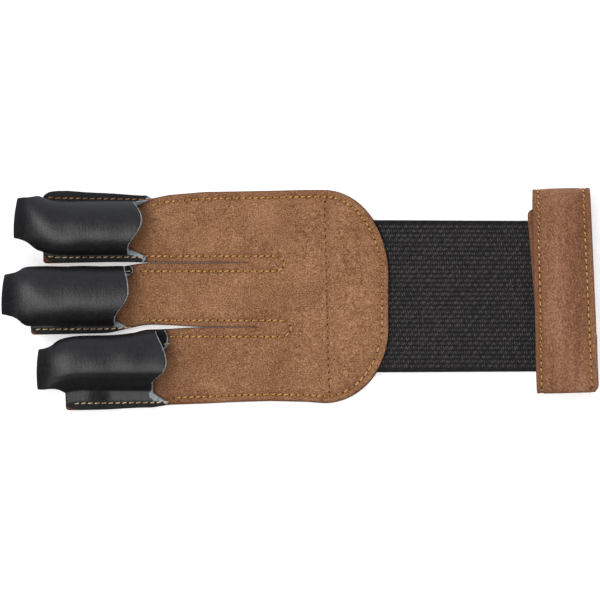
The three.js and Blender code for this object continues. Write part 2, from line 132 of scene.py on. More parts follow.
# Points and faces of a sheet: rows along it, columns across it to the left, and walls at its edges
def sheetFaces(upper, lower, upperFinish, lowerFinish, wallFinish):
    rows = len(upper)
    columns = len(upper[0])
    points = [point for row in upper for point in row] + [point for row in lower for point in row]
    below = rows * columns
    faces = []
    for i in range(rows - 1):
        for j in range(columns - 1):
            a = i * columns + j
            b = a + columns
            rim = i in (0, rows - 2) or j in (0, columns - 2)
            faces.append(((a, b, b + 1, a + 1), wallFinish if rim else upperFinish))
            faces.append(((below + a, below + a + 1, below + b + 1, below + b), lowerFinish))
        a = i * columns
        b = a + columns
        faces.append(((below + a, below + b, b, a), wallFinish))
        c = a + columns - 1
        d = b + columns - 1
        faces.append(((c, d, below + d, below + c), wallFinish))
    last = (rows - 1) * columns
    for j in range(columns - 1):
        faces.append(((j, j + 1, below + j + 1, below + j), wallFinish))
        a = last + j
        faces.append(((below + a, below + a + 1, a + 1, a), wallFinish))
    return points, faces


# Adds a node with its settings and a ramp's stops; an input takes a value or another node's output
def addNode(tree, kind, inputs=None, stops=(), **settings):
    node = tree.nodes.new(kind)
    for key, value in settings.items():
        setattr(node, key, value)
    for _ in stops[2:]:
        node.color_ramp.elements.new(0.5)
    for number, (place, colour) in enumerate(stops):
        node.color_ramp.elements[number].position = place
        node.color_ramp.elements[number].color = linear(colour)
    for key, value in (inputs or {}).items():
        if isinstance(value, bpy.types.NodeSocket):
            tree.links.new(value, node.inputs[key])
        else:
            node.inputs[key].default_value = value
    return node


def linear(hexColour):
    values = [int(hexColour[i:i + 2], 16) / 255 for i in (1, 3, 5)]
    return [v / 12.92 if v <= 0.04045 else ((v + 0.055) / 1.055) ** 2.4 for v in values] + [1]


# Texture scale that gives spots of this many millimetres
def spots(size):
    return 1 / (size * mm)


def newFinish(name):
    finish = bpy.data.materials.new(name)
    finish.use_nodes = True
    finish.node_tree.nodes.clear()
    return finish, finish.node_tree


# Weighted sum of outputs
def blendOf(tree, parts):
    total = None
    for source, weight in parts:
        scaled = addNode(tree, "ShaderNodeMath", {0: source, 1: weight}, operation="MULTIPLY").outputs[0]
        if total is None:
            total = scaled
        else:
            total = addNode(tree, "ShaderNodeMath", {0: total, 1: scaled}, operation="ADD").outputs[0]
    return total


# Sueded split leather, dyed and buffed: matt, with a short nap brushed into lighter and darker marks
def suedeFinish(name, look):
    finish, tree = newFinish(name)
    place = addNode(tree, "ShaderNodeTexCoord").outputs["Object"]
    streaks = addNode(tree, "ShaderNodeMapping", {"Vector": place, "Scale": look["streak"]}).outputs[0]
    cloud = addNode(tree, "ShaderNodeTexNoise", {
        "Vector": streaks, "Scale": spots(look["cloud"]), "Detail": 3}).outputs["Fac"]
    brushed = addNode(tree, "ShaderNodeMapping", {"Vector": place, "Scale": look["brush"]}).outputs[0]
    blotch = addNode(tree, "ShaderNodeTexNoise", {
        "Vector": brushed, "Scale": spots(look["blotch"]), "Detail": 5, "Roughness": 0.6,
        "Distortion": 0.3}).outputs["Fac"]
    nap = addNode(tree, "ShaderNodeTexNoise", {
        "Vector": brushed, "Scale": spots(look["nap"]), "Detail": 2, "Roughness": 0.6}).outputs["Fac"]
    tone = blendOf(tree, [
        (cloud, look["cloudShare"]), (blotch, look["blotchShare"]), (nap, look["napShare"])])
    colour = addNode(tree, "ShaderNodeValToRGB", {"Fac": tone}, stops=look["tones"]).outputs["Color"]
    # Cut edges and needle rows are darker, and so is the suede close behind the stalls: there it is a
    # painted shade cast by the stalls, with some dirt in it
    rim = addNode(tree, "ShaderNodeAttribute", attribute_name="rim").outputs["Fac"]
    row = addNode(tree, "ShaderNodeAttribute", attribute_name="row").outputs["Fac"]
    shadeAndSoil = addNode(tree, "ShaderNodeAttribute", attribute_name="shadeAndSoil").outputs["Fac"]
    markMix = blendOf(tree, [(rim, look["rimShade"]), (row, look["rowShade"]), (shadeAndSoil, look["shadeAndSoilStrength"])])
    shaded = addNode(tree, "ShaderNodeMix", {"Factor": markMix, 6: colour, 7: linear(look["shade"])},
                     data_type="RGBA")
    height = blendOf(tree, [(blotch, 0.5), (nap, 0.5)])
    bump = addNode(tree, "ShaderNodeBump", {
        "Height": height, "Strength": look["bump"], "Distance": look["relief"] * mm})
    shader = addNode(tree, "ShaderNodeBsdfPrincipled", {
        "Base Color": shaded.outputs[2], "Roughness": 0.94, "IOR": 1.45, "Specular IOR Level": 0.22,
        "Sheen Weight": look["sheen"], "Sheen Roughness": 0.45, "Sheen Tint": linear("#c9a58c"),
        "Normal": bump.outputs["Normal"]})
    addNode(tree, "ShaderNodeOutputMaterial", {"Surface": shader.outputs[0]})
    return finish


# Spot sizes and relief are millimetres; the nap is drawn about twice as coarse as it is, so that it shows
palmLook = {"cloud": 11, "streak": (1, 1, 1), "blotch": 1.5, "nap": 0.36, "brush": (0.85, 1, 1),
            "cloudShare": 0.15, "blotchShare": 0.16, "napShare": 0.69, "bump": 0.7, "relief": 0.5,
            "sheen": 0.16, "rimShade": 0.4, "rowShade": 0.3, "shadeAndSoilStrength": 0.52, "shade": "#4a2c1b",
            "tones": [(0.36, "#5c3922"), (0.5, "#8e6345"), (0.64, "#bb8f6b")]}
# The back layer is the same suede in darker tones: painted shade, as it lies below the palm layer
shadedBackLook = dict(palmLook, tones=[(0.38, "#5a3722"), (0.5, "#7d543a"), (0.62, "#996e50")])
strapLook = dict(palmLook, cloud=6, streak=(1, 0.12, 1), cloudShare=0.26, blotchShare=0.14, napShare=0.6,
                 brush=(1, 0.6, 1), bump=0.5, tones=[(0.36, "#5f3c2a"), (0.5, "#865c43"), (0.64, "#aa8063")])
palmSuede = suedeFinish("suede_palm_buffed_split", palmLook)
shadedBackSuede = suedeFinish("suede_back_painted_shade", shadedBackLook)
strapSuede = suedeFinish("suede_strap_buffed_split", strapLook)


# Smooth full-grain leather, dyed through and pressed: a soft broad gloss, fine pores and faint creases
def smoothLeatherFinish(name, look):
    finish, tree = newFinish(name)
    place = addNode(tree, "ShaderNodeTexCoord").outputs["Object"]
    pores = addNode(tree, "ShaderNodeTexVoronoi", {"Vector": place, "Scale": spots(look["pore"])},
                    feature="SMOOTH_F1").outputs["Distance"]
    # Creases run across the finger
    across = addNode(tree, "ShaderNodeMapping", {"Vector": place, "Scale": look["creaseRun"]}).outputs[0]
    creases = addNode(tree, "ShaderNodeTexNoise", {
        "Vector": across, "Scale": spots(look["crease"]), "Detail": 4, "Roughness": 0.6,
        "Distortion": 0.3}).outputs["Fac"]
    scuffs = addNode(tree, "ShaderNodeTexNoise", {
        "Vector": place, "Scale": spots(look["scuff"]), "Detail": 4, "Roughness": 0.6}).outputs["Fac"]
    colour = addNode(tree, "ShaderNodeValToRGB", {"Fac": scuffs}, stops=look["tones"]).outputs["Color"]
    gloss = addNode(tree, "ShaderNodeMapRange", {
        "Value": scuffs, "To Min": look["glossy"], "To Max": look["dull"]}).outputs["Result"]
    height = blendOf(tree, [(pores, 0.35), (creases, 0.65)])
    bump = addNode(tree, "ShaderNodeBump", {
        "Height": height, "Strength": look["bump"], "Distance": look["relief"] * mm})
    # Where the edge is skived or stands open, the undyed inside of the leather shows
    raw = addNode(tree, "ShaderNodeAttribute", attribute_name="raw").outputs["Fac"]
    fibres = addNode(tree, "ShaderNodeTexNoise", {
        "Vector": place, "Scale": spots(look["fibre"]), "Detail": 4, "Roughness": 0.6}).outputs["Fac"]
    fray = addNode(tree, "ShaderNodeMath", {0: fibres, 1: -0.5}, operation="ADD").outputs[0]
    ragged = addNode(tree, "ShaderNodeMath", {0: raw, 1: fray}, operation="ADD").outputs[0]
    opened = addNode(tree, "ShaderNodeMapRange", {
        "Value": ragged, "From Min": 0.45, "From Max": 0.6}).outputs["Result"]
    inside = addNode(tree, "ShaderNodeValToRGB", {"Fac": fibres}, stops=look["inside"]).outputs["Color"]
    blended = addNode(tree, "ShaderNodeMix", {"Factor": opened, 6: colour, 7: inside}, data_type="RGBA")
    # Rubbed leather is dull
    rubbed = addNode(tree, "ShaderNodeAttribute", attribute_name="rubbed").outputs["Fac"]
    markMix = addNode(tree, "ShaderNodeMix", {"Factor": rubbed, 2: gloss, 3: look["rubbed"]}, data_type="FLOAT")
    rough = addNode(tree, "ShaderNodeMix", {"Factor": opened, 2: markMix.outputs[0], 3: 0.9}, data_type="FLOAT")
    shader = addNode(tree, "ShaderNodeBsdfPrincipled", {
        "Base Color": blended.outputs[2], "Roughness": rough.outputs[0], "IOR": 1.5,
        "Specular IOR Level": look["specular"], "Normal": bump.outputs["Normal"]})
    addNode(tree, "ShaderNodeOutputMaterial", {"Surface": shader.outputs[0]})
    return finish


stallLook = {"pore": 0.5, "crease": 0.8, "creaseRun": (1, 0.14, 0.14), "scuff": 1.6, "fibre": 0.7,
             "glossy": 0.31, "dull": 0.5, "rubbed": 0.85, "bump": 0.7, "relief": 0.13, "specular": 0.5,
             "tones": [(0.35, "#121113"), (0.65, "#1b1a1c")],
             "inside": [(0.35, "#6c757b"), (0.65, "#a2a9ad")]}
stallLeather = smoothLeatherFinish("leather_full_grain_black", stallLook)


# Flesh side and cut edge of the same leather: the dye hardly takes, so it is a pale blue grey felt
def fleshFinish(name, look):
    finish, tree = newFinish(name)
    place = addNode(tree, "ShaderNodeTexCoord").outputs["Object"]
    fibres = addNode(tree, "ShaderNodeTexNoise", {
        "Vector": place, "Scale": spots(look["fibre"]), "Detail": 4, "Roughness": 0.65,
        "Distortion": 0.8}).outputs["Fac"]
    patches = addNode(tree, "ShaderNodeTexNoise", {
        "Vector": place, "Scale": spots(look["patch"]), "Detail": 3}).outputs["Fac"]
    tone = blendOf(tree, [(fibres, 0.6), (patches, 0.4)])
    colour = addNode(tree, "ShaderNodeValToRGB", {"Fac": tone}, stops=look["tones"]).outputs["Color"]
    # Edges of the sewn flanges are painted black
    painted = addNode(tree, "ShaderNodeAttribute", attribute_name="rubbed").outputs["Fac"]
    coated = addNode(tree, "ShaderNodeMix", {"Factor": painted, 6: colour, 7: linear(look["paint"])},
                     data_type="RGBA")
    bump = addNode(tree, "ShaderNodeBump", {"Height": fibres, "Strength": 0.5, "Distance": 0.25 * mm})
    shader = addNode(tree, "ShaderNodeBsdfPrincipled", {
        "Base Color": coated.outputs[2], "Roughness": 0.95, "IOR": 1.45,
        "Specular IOR Level": 0.2, "Sheen Weight": 0.1, "Normal": bump.outputs["Normal"]})
    addNode(tree, "ShaderNodeOutputMaterial", {"Surface": shader.outputs[0]})
    return finish


fleshLook = {"fibre": 0.45, "patch": 3, "paint": "#59636b",
             "tones": [(0.36, "#59636b"), (0.5, "#7d8992"), (0.66, "#98a4ac")]}
cutLook = {"fibre": 0.35, "patch": 2, "paint": "#1c1b1c",
           "tones": [(0.36, "#6f777c"), (0.5, "#929a9e"), (0.66, "#aeb4b6")]}
fleshSide = fleshFinish("leather_flesh_side_grey", fleshLook)
cutEdge = fleshFinish("leather_cut_edge_grey", cutLook)


plyAngle = math.radians(38)  # the plies of a thread wind round it at this angle
plyScale = 1 / 6  # the wave texture then draws one wave in nearly two sizes of ply


# Thread, yarn or tape: dyed polyester or nylon with a slight sheen on the turns of its fibres
def yarnFinish(name, look):
    finish, tree = newFinish(name)
    place = addNode(tree, "ShaderNodeTexCoord").outputs["Object"]
    wound = addNode(tree, "ShaderNodeMapping", {"Vector": place, "Rotation": (0, 0, plyAngle)}).outputs[0]
    ply = addNode(tree, "ShaderNodeTexWave", {
        "Vector": wound, "Scale": spots(look["ply"]) * plyScale, "Distortion": 1.5,
        "Detail": 1}).outputs["Fac"]
    patches = addNode(tree, "ShaderNodeTexNoise", {
        "Vector": place, "Scale": spots(look["patch"]), "Detail": 3}).outputs["Fac"]
    tone = blendOf(tree, [(ply, 0.45), (patches, 0.55)])
    colour = addNode(tree, "ShaderNodeValToRGB", {"Fac": tone}, stops=look["tones"]).outputs["Color"]
    bump = addNode(tree, "ShaderNodeBump", {"Height": ply, "Strength": 0.4, "Distance": 0.1 * mm})
    shader = addNode(tree, "ShaderNodeBsdfPrincipled", {
        "Base Color": colour, "Roughness": look["roughness"], "IOR": 1.5,
        "Specular IOR Level": 0.4, "Sheen Weight": look["sheen"], "Sheen Roughness": 0.4,
        "Normal": bump.outputs["Normal"]})
    addNode(tree, "ShaderNodeOutputMaterial", {"Surface": shader.outputs[0]})
    return finish


# A 0.6 mm sewing thread twists once in about 1 mm; it is drawn at about 1.5 mm, so that it just shows
goldLook = {"ply": 0.8, "patch": 2, "roughness": 0.5, "sheen": 0.15,
            "tones": [(0.25, "#8c5f28"), (0.5, "#b4823f"), (0.75, "#cf9f5c")]}
goldThread = yarnFinish("thread_waxed_polyester_gold", goldLook)
brownThread = yarnFinish("thread_waxed_polyester_brown", dict(goldLook, tones=[
    (0.25, "#6f4a28"), (0.5, "#8d6139"), (0.75, "#a87a4e")]))
paleThread = yarnFinish("thread_waxed_polyester_pale", dict(goldLook, tones=[
    (0.25, "#8c7450"), (0.5, "#b69d73"), (0.75, "#d2bd97")]))
dullThread = yarnFinish("thread_waxed_polyester_grey", dict(goldLook, tones=[
    (0.25, "#6b5a4a"), (0.5, "#8a7866"), (0.75, "#a39281")]))
# Dark discs at the needle holes: painted shade for the hollow of each hole
needleHoleShade = yarnFinish("suede_needle_hole_shade", dict(goldLook, roughness=0.95, sheen=0.0,
                        tones=[(0.3, "#2b1a10"), (0.7, "#3d2617")]))
blackHoleShade = yarnFinish("leather_needle_hole_shade", dict(goldLook, roughness=0.95, sheen=0.0,
                       tones=[(0.3, "#0c0b0b"), (0.7, "#1a1614")]))
coreLook = {"ply": 1.5, "patch": 6, "roughness": 0.85, "sheen": 0.05,
            "tones": [(0.3, "#0e0d0d"), (0.7, "#191616")]}
webbingCore = yarnFinish("elastic_rubber_core_covered", coreLook)
webbingYarn = yarnFinish("elastic_polyester_yarn", dict(
    coreLook, ply=0.9, patch=1.0, roughness=0.6, sheen=0.3, tones=[(0.35, "#262423"), (0.65, "#534f4e")]))
tapeLook = dict(coreLook, ply=0.7, roughness=0.9, sheen=0.2, tones=[(0.3, "#121112"), (0.7, "#242224")])
pileTape = yarnFinish("tape_nylon_loop_pile", tapeLook)
hookTape = yarnFinish("tape_nylon_hooks", dict(
    tapeLook, roughness=0.5, tones=[(0.3, "#161516"), (0.7, "#2a292a")]))
print("finishes made")

# Hand panel, and the three fingers that are strips of it
panel = {"length": 79.0, "width": 70.4, "cornerRun": 21.7, "corner": {"index": 28.3, "ring": 24.7},
         "slitLength": 32.7, "slitGap": 0.35, "backSlit": 0.2, "layerInset": 0.3, "stepRun": 2.6,
         "grid": 0.6, "rimRound": 0.6, "rimFlat": 0.5, "rimStain": 0.55, "rowInset": 2.3, "rowDepth": 0.32,
         "rowWidth": 0.6, "rowStain": 0.8, "crossDepth": 0.12, "shadeAndSoilRun": 4.2, "pillow": 0.42,
         "pillowRun": 2.4, "ripple": 0.5, "rippleSize": 13, "looseRun": (0.5, 7), "calmRun": (7, 2),
         "indexTip": 4.2, "ringTip": 1.2}
panelEdges = [
    {"along": 0.0, "index": 0.928, "ring": 1.055}, {"along": 0.07, "index": 0.96, "ring": 1.03},
    {"along": 0.22, "index": 0.989, "ring": 1.018}, {"along": 0.36, "index": 0.994, "ring": 1.003},
    {"along": 0.5, "index": 1.0, "ring": 0.994}, {"along": 0.65, "index": 1.008, "ring": 1.002},
    {"along": 0.73, "index": 1.008, "ring": 1.015}]
# Slits between the fingers. Their rows of stitches stand off to each side and run from near the stalls
# past the slit's end; ringShort is how much later the row on the ring side starts
slits = [
    {"across": 0.159, "length": 1.0, "open": 1.0,
     "indexRow": 2.15, "ringRow": 2.9, "past": 11.3, "from": -83.5, "ringShort": 0},
    {"across": -0.146, "length": 1.08, "open": 5.2,
     "indexRow": 2.2, "ringRow": 3.2, "past": 11.0, "from": -81.0, "ringShort": 8}]
strip = {"reach": 129.2, "pitch": 24.2, "width": 24.0, "taper": 0.07}
stall = {"length": 42.4, "width": 18.4, "rise": 14.7, "sweep": math.radians(108), "fold": 1.15,
         "tipWidth": 14.9, "tipHeight": 9.2, "tipDepth": 3.2, "tipFlat": 0.4, "tipToFlange": 9.7,
         "shoulder": 15.5, "crownCurve": 2.6, "crownShare": 0.2, "tongue": 16.0, "ramp": 9.0, "notch": 4.6,
         "notchSpan": 0.55, "tail": 1.4, "rearRound": 1.1, "flangeFront": 2.5, "rimRound": 0.6,
         "rimFlat": 0.45, "rowShare": 0.27, "threadSink": 0.05, "dent": 0.2, "dentSize": 8, "sideWear": 0.5,
         "smoothSide": 0.6}
skive = {"edge": 0.16, "wide": 3.2, "spread": 1.8, "blur": 0.5}
fingers = [
    {"name": "index_stall", "reach": 0.968, "across": 0.938, "strip": 1.0, "length": 1.01,
     "bulge": 0.99, "lean": 0.0, "tipShift": 0.138, "skew": 0.1, "crest": 0.16, "notch": 0.62,
     "swell": 0.0, "rearSwell": 0.0, "swellRun": 20, "pinch": 0.0, "apron": 0.0, "flare": 1.0,
     "indexTail": 2.7, "ringTail": 1.3, "indexRaw": 0.9, "ringRaw": 1.0, "ringFront": 8.0},
    {"name": "middle_stall", "reach": 1.0, "across": -0.062, "strip": 0.965, "length": 1.002,
     "bulge": 1.0, "lean": 0.125, "tipShift": -0.01, "skew": 0.075, "crest": 0.04, "notch": 0.3,
     "swell": 1.6, "rearSwell": 0.0, "swellRun": 10, "pinch": 0.03, "apron": 0.0, "flare": 0.0,
     "indexTail": 1.6, "ringTail": 0.2, "indexRaw": 0.1, "ringRaw": 1.0, "ringFront": 5.5},
    {"name": "ring_stall", "reach": 0.91, "across": -1.087, "strip": 1.0, "length": 1.026,
     "bulge": 0.93, "lean": 0.23, "tipShift": -0.097, "skew": 0.025, "crest": 0.0, "notch": 0.75,
     "swell": 2.9, "rearSwell": 1.5, "swellRun": 9, "pinch": 0.0, "apron": 1.0, "flare": 0.0,
     "indexTail": 0.6, "ringTail": 0.5, "indexRaw": 0.3, "ringRaw": 1.0, "ringFront": 5.5}]
# Beyond the strip, how far the index finger's outer flange stands out, by distance behind the fingertip
flangeFlare = [
    {"along": 9.7, "out": 0.1}, {"along": 14, "out": 0.7}, {"along": 18, "out": 0.85},
    {"along": 24, "out": 0.5}, {"along": 31, "out": 0.35}, {"along": 38, "out": 0.55},
    {"along": 45, "out": 0.9}]
# Outer side of the ring finger's stall, from its crown to its flange: it drops steeply to a low apron
apronShape = [
    {"along": 0.0, "side": 0.0, "drop": 0.0}, {"along": 0.1, "side": 0.1, "drop": 0.055},
    {"along": 0.2, "side": 0.17, "drop": 0.14}, {"along": 0.3, "side": 0.215, "drop": 0.25},
    {"along": 0.41, "side": 0.245, "drop": 0.39}, {"along": 0.51, "side": 0.265, "drop": 0.53},
    {"along": 0.6, "side": 0.285, "drop": 0.67}, {"along": 0.675, "side": 0.305, "drop": 0.79},
    {"along": 0.73, "side": 0.335, "drop": 0.875}, {"along": 0.775, "side": 0.385, "drop": 0.925},
    {"along": 0.83, "side": 0.49, "drop": 0.95}, {"along": 0.88, "side": 0.64, "drop": 0.965},
    {"along": 0.94, "side": 0.82, "drop": 0.983}, {"along": 1.0, "side": 1.0, "drop": 1.0}]
# From the fingertip to the flange, how wide the arch of a stall is and how far its sides bend down
tipShape = [
    {"along": 0.0, "width": 0.0, "bend": 0.24}, {"along": 0.34, "width": 0.33, "bend": 0.5},
    {"along": 0.52, "width": 0.62, "bend": 0.74}, {"along": 0.7, "width": 0.93, "bend": 0.93},
    {"along": 0.86, "width": 1.0, "bend": 1.05}, {"along": 1.0, "width": 1.0, "bend": 1.16}]
band = {"width": 50.8, "span": 48.3, "lap": 19.4, "tuck": 13.5, "sag": 1.0, "heldEnd": 4, "narrowing": 0.01,
        "rimRound": 0.5, "rimFlat": 0.4, "selvage": (1.2, 1.9), "yarnRoom": 0.14, "yarnStart": -13,
        "yarnSink": 0.16}
innerLevel = wall["suede"] + wall["gap"]
panelTop = innerLevel + wall["suede"]
bandRaise = wall["elastic"] + wall["gap"]
rampStart = stall["tongue"] + wall["gap"]
slitEnds = [slit["length"] * panel["slitLength"] - panel["length"] for slit in slits]


def tipX(finger):
    return -strip["reach"] * finger["reach"]


def stripCentre(finger):
    return strip["pitch"] * finger["across"]


def stripHalf(finger):
    return strip["width"] * finger["strip"] / 2


# The tongue under a fingertip lifts the strip that lies on it
def stripLift(finger, x):
    behind = x - tipX(finger)
    return (wall["stall"] + wall["gap"]) * (1 - smooth(behind, rampStart, rampStart + stall["ramp"]))


def panelEdge(side, x, inset):
    along = (x + panel["length"]) / panel["length"]
    into = clamp((x + panel["cornerRun"]) / (panel["cornerRun"] - inset), 0, 1)
    rounded = panel["corner"][side] * (1 - math.sqrt(max(0, 1 - into * into)))
    reach = panel["width"] / 2 * tableAt(panelEdges, side, along) - inset - rounded
    return reach if side == "index" else -reach


def slitLine(index, x, inset):
    line = panel["width"] * slits[index]["across"]
    end = slitEnds[index]
    if x <= end:
        return line
    span = panelEdge("index", end, inset) - panelEdge("ring", end, inset)
    share = (panelEdge("index", end, inset) - line) / span
    return mix(panelEdge("index", x, inset), panelEdge("ring", x, inset), share)


# The back layer's slits all but close, so that no light comes up through them
def slitHalfGap(index, x, inset):
    slit = slits[index]
    share = clamp((x + panel["length"]) / (slit["length"] * panel["slitLength"]), 0, 1)
    least = 1 if inset > 0 else panel["backSlit"]
    wide = least + (slit["open"] - 1) * (1 - smooth(share, 0, 0.5))
    return panel["slitGap"] / 2 * wide * (1 - share ** 4)


def stripEdges(index, x, inset):
    finger = fingers[index]
    joined = smooth(x, -panel["length"] - strip["width"] * 0.7, -panel["length"])
    taper = 1 - strip["taper"] * clamp((x - tipX(finger)) / (panel["length"] / 2), 0, 1)
    half = stripHalf(finger) * taper - inset
    if index == 0:
        upper = panelEdge("index", x, inset)
    else:
        upper = slitLine(index - 1, x, inset) - slitHalfGap(index - 1, x, inset)
    if index == 2:
        lower = panelEdge("ring", x, inset)
    else:
        lower = slitLine(index, x, inset) + slitHalfGap(index, x, inset)
    return mix(stripCentre(finger) + half, upper, joined), mix(stripCentre(finger) - half, lower, joined)


# The inner layer rises over the end of the elastic
def bandLift(x, y):
    along = smooth(x, -band["lap"] - panel["stepRun"], -band["lap"])
    edge = band["width"] / 2 + panel["stepRun"]
    return bandRaise * along * (1 - smooth(abs(y), edge, edge + 1.7 * panel["stepRun"]))


# Stations from the corner's start to the wrist end, closer together where the outline turns
def cornerStations(inset):
    turns = [math.radians(angle) for angle in steps(0, 60, 40) + steps(63, 90, 9)]
    return [-panel["cornerRun"] + (panel["cornerRun"] - inset) * math.sin(turn) for turn in turns]


# Rows of stitches in plan: round the outline, across by the elastic, and a loop round each slit
palmSewing = {"indexStart": -78.2, "ringStart": -71.6, "step": 0.8, "turn": 3.6,
              "crossIndex": (-21.4, 32.6), "crossRing": (-19.9, -32.0), "sink": 0.16, "crossRise": 0.06}


def sewingRows():
    inset = panel["rowInset"]
    step = palmSewing["step"]
    turn = palmSewing["turn"]
    stations = cornerStations(inset)
    indexSide = [(x, panelEdge("index", x, inset))
                 for x in spaced(palmSewing["indexStart"], stations[0], step)[:-1] + stations]
    ringSide = [(x, panelEdge("ring", x, inset))
                for x in spaced(palmSewing["ringStart"], stations[0], step)[:-1] + stations]
    corner = indexSide[-1]
    across = [(corner[0], y) for y in spaced(corner[1], ringSide[-1][1], step)[1:-1]]
    rows = {"outline": indexSide + across + ringSide[::-1]}
    ends = list(zip(palmSewing["crossIndex"], palmSewing["crossRing"]))
    rows["cross"] = [tuple(mix(first, last, share) for first, last in ends) for share in steps(0, 1, 80)]
    for index, slit in enumerate(slits):
        last = slitEnds[index] + slit["past"]
        line = slitLine(index, slitEnds[index], 0)
        straight = spaced(slit["from"], last - turn, step)
        half = (slit["indexRow"] + slit["ringRow"]) / 2
        middle = line + (slit["indexRow"] - slit["ringRow"]) / 2
        bend = [(last - turn + turn * math.sin(angle), middle + half * math.cos(angle))
                for angle in steps(0, math.pi, 14)]
        upper = [(x, middle + half) for x in straight[:-1]]
        lower = [(x, middle - half) for x in straight[:-1] if x > slit["from"] + slit["ringShort"]]
        rows["slit%d" % (index + 1)] = upper + bend + lower[::-1]
    return rows


panelRows = sewingRows()
rowDistance = distanceTo([place for name, row in panelRows.items() if name != "cross" for place in row])
crossDistance = distanceTo(panelRows["cross"])


def fingerAt(x, y):
    if y > slitLine(0, x, 0):
        return 0
    return 1 if y > slitLine(1, x, 0) else 2


# Behind the stalls the hand panel is not pressed flat, and it puffs a little between its rows
def looseness(finger, x):
    rear = tipX(finger) + stall["length"] * finger["length"] + stall["tail"]
    return smooth(x, rear + panel["looseRun"][0], rear + panel["looseRun"][1])


def ripple(x, y, finger):
    calm = 1 - smooth(x, -band["lap"] - panel["calmRun"][0], -band["lap"] - panel["calmRun"][1])
    swell = 0.5 + 0.5 * noise.noise(Vector((x, y, 7)) / panel["rippleSize"])
    return panel["ripple"] * swell * calm * looseness(finger, x)


def palmHeight(x, y, index):
    finger = fingers[index]
    fromRow = min(rowDistance(x, y), crossDistance(x, y))
    puff = panel["pillow"] * (1 - math.exp(-(fromRow / panel["pillowRun"]) ** 2))
    top = panelTop + stripLift(finger, x) + bandLift(x, y)
    return top + ripple(x, y, finger) + puff * looseness(finger, x)


def cornerCut(behind, radius):
    into = clamp(behind / radius, 0, 1)
    return radius * (1 - math.sqrt(1 - (1 - into) ** 2))


def panelLayer(name, level, inset, isPalm, finish):
    front = -panel["length"]
    end = -inset
    grid = panel["grid"]
    shared = spaced(front, slitEnds[0], grid) + spaced(slitEnds[0], slitEnds[1], grid)[1:]
    shared += spaced(slitEnds[1], -panel["cornerRun"], grid)[1:-1] + cornerStations(inset)
    edgeShares = [0, 0.006, 0.014, 0.024, 0.038]
    shares = edgeShares + steps(0.06, 0.94, 36) + [1 - share for share in reversed(edgeShares)]
    outline = []
    stripsOf = []
    for k, finger in enumerate(fingers):
        start = tipX(finger) + stall["tipToFlange"] + inset
        rows = [start + step for step in (0, 0.1, 0.3, 0.6)]
        rows += spaced(start + 0.9, front, grid)[:-1] + shared
        plan = []
        for x in rows:
            upper, lower = stripEdges(k, x, inset)
            upper -= cornerCut(x - start, panel["indexTip"])
            lower += cornerCut(x - start, panel["ringTip"])
            plan.append([(x, mix(upper, lower, share)) for share in shares])
            if k == 0 or x <= slitEnds[k - 1]:
                outline.append(plan[-1][0])
            if k == 2 or x <= slitEnds[k]:
                outline.append(plan[-1][-1])
        outline += plan[0] + plan[-1]
        stripsOf.append((rows, plan))
    rimDistance = distanceTo(outline)

    points = []
    faces = []
    marks = {"rim": [], "row": [], "shadeAndSoil": []}
    for k, (rows, plan) in enumerate(stripsOf):
        finger = fingers[k]
        columns = len(shares)
        first = len(points)
        top = []
        bottom = []
        for line in plan:
            for x, y in line:
                if isPalm:
                    crest = palmHeight(x, y, k)
                    middle = crest - wall["suede"] / 2
                    groove = panel["rowDepth"] * math.exp(-(rowDistance(x, y) / panel["rowWidth"]) ** 2)
                    groove += panel["crossDepth"] * math.exp(-(crossDistance(x, y) / panel["rowWidth"]) ** 2)
                else:
                    middle = level + wall["suede"] / 2 + stripLift(finger, x) + ripple(x, y, finger)
                    groove = 0
                half = wall["suede"] / 2 * rimFullness(rimDistance(x, y), panel)
                top.append(Vector((x, y, middle + half - groove)))
                bottom.append(Vector((x, y, middle - half)))
        points += top + bottom
        rear = tipX(finger) + stall["length"] * finger["length"]
        rims = [math.exp(-rimDistance(point.x, point.y) / panel["rimStain"]) for point in top]
        sewn = [math.exp(-(rowDistance(point.x, point.y) / panel["rowStain"]) ** 2) for point in top]
        # Painted shade of the stall, with some dirt, on the palm just behind its rear edge
        shadesAndSoil = [math.exp(-max(point.x - rear, 0) / panel["shadeAndSoilRun"]) for point in top]
        marks["rim"] += rims * 2
        marks["row"] += [isPalm * value for value in sewn] * 2
        marks["shadeAndSoil"] += [isPalm * value for value in shadesAndSoil] * 2
        below = len(top)
        for i in range(len(rows) - 1):
            for j in range(columns - 1):
                a = first + i * columns + j
                b = a + columns
                faces.append(((a, a + 1, b + 1, b), 0))
                faces.append(((below + a, below + b, below + b + 1, below + a + 1), 0))
            a = first + i * columns
            b = a + columns
            if k == 0 or rows[i] < slitEnds[k - 1] - 1e-6:
                faces.append(((a, b, below + b, below + a), 0))
            if k == 2 or rows[i] < slitEnds[k] - 1e-6:
                c = a + columns - 1
                d = b + columns - 1
                faces.append(((below + c, below + d, d, c), 0))
        last = first + (len(rows) - 1) * columns
        for j in range(columns - 1):
            a = first + j
            faces.append(((a, below + a, below + a + 1, a + 1), 0))
            b = last + j
            faces.append(((b, b + 1, below + b + 1, below + b), 0))
    return makePiece(name, points, faces, [finish], marks)


# The back layer takes the darker copy of the suede, which is painted shade
outerPanel = panelLayer("hand_panel_back", 0, 0, False, shadedBackSuede)
innerPanel = panelLayer("hand_panel_palm", innerLevel, panel["layerInset"], True, palmSuede)
print("hand panel made", len(innerPanel.data.polygons))


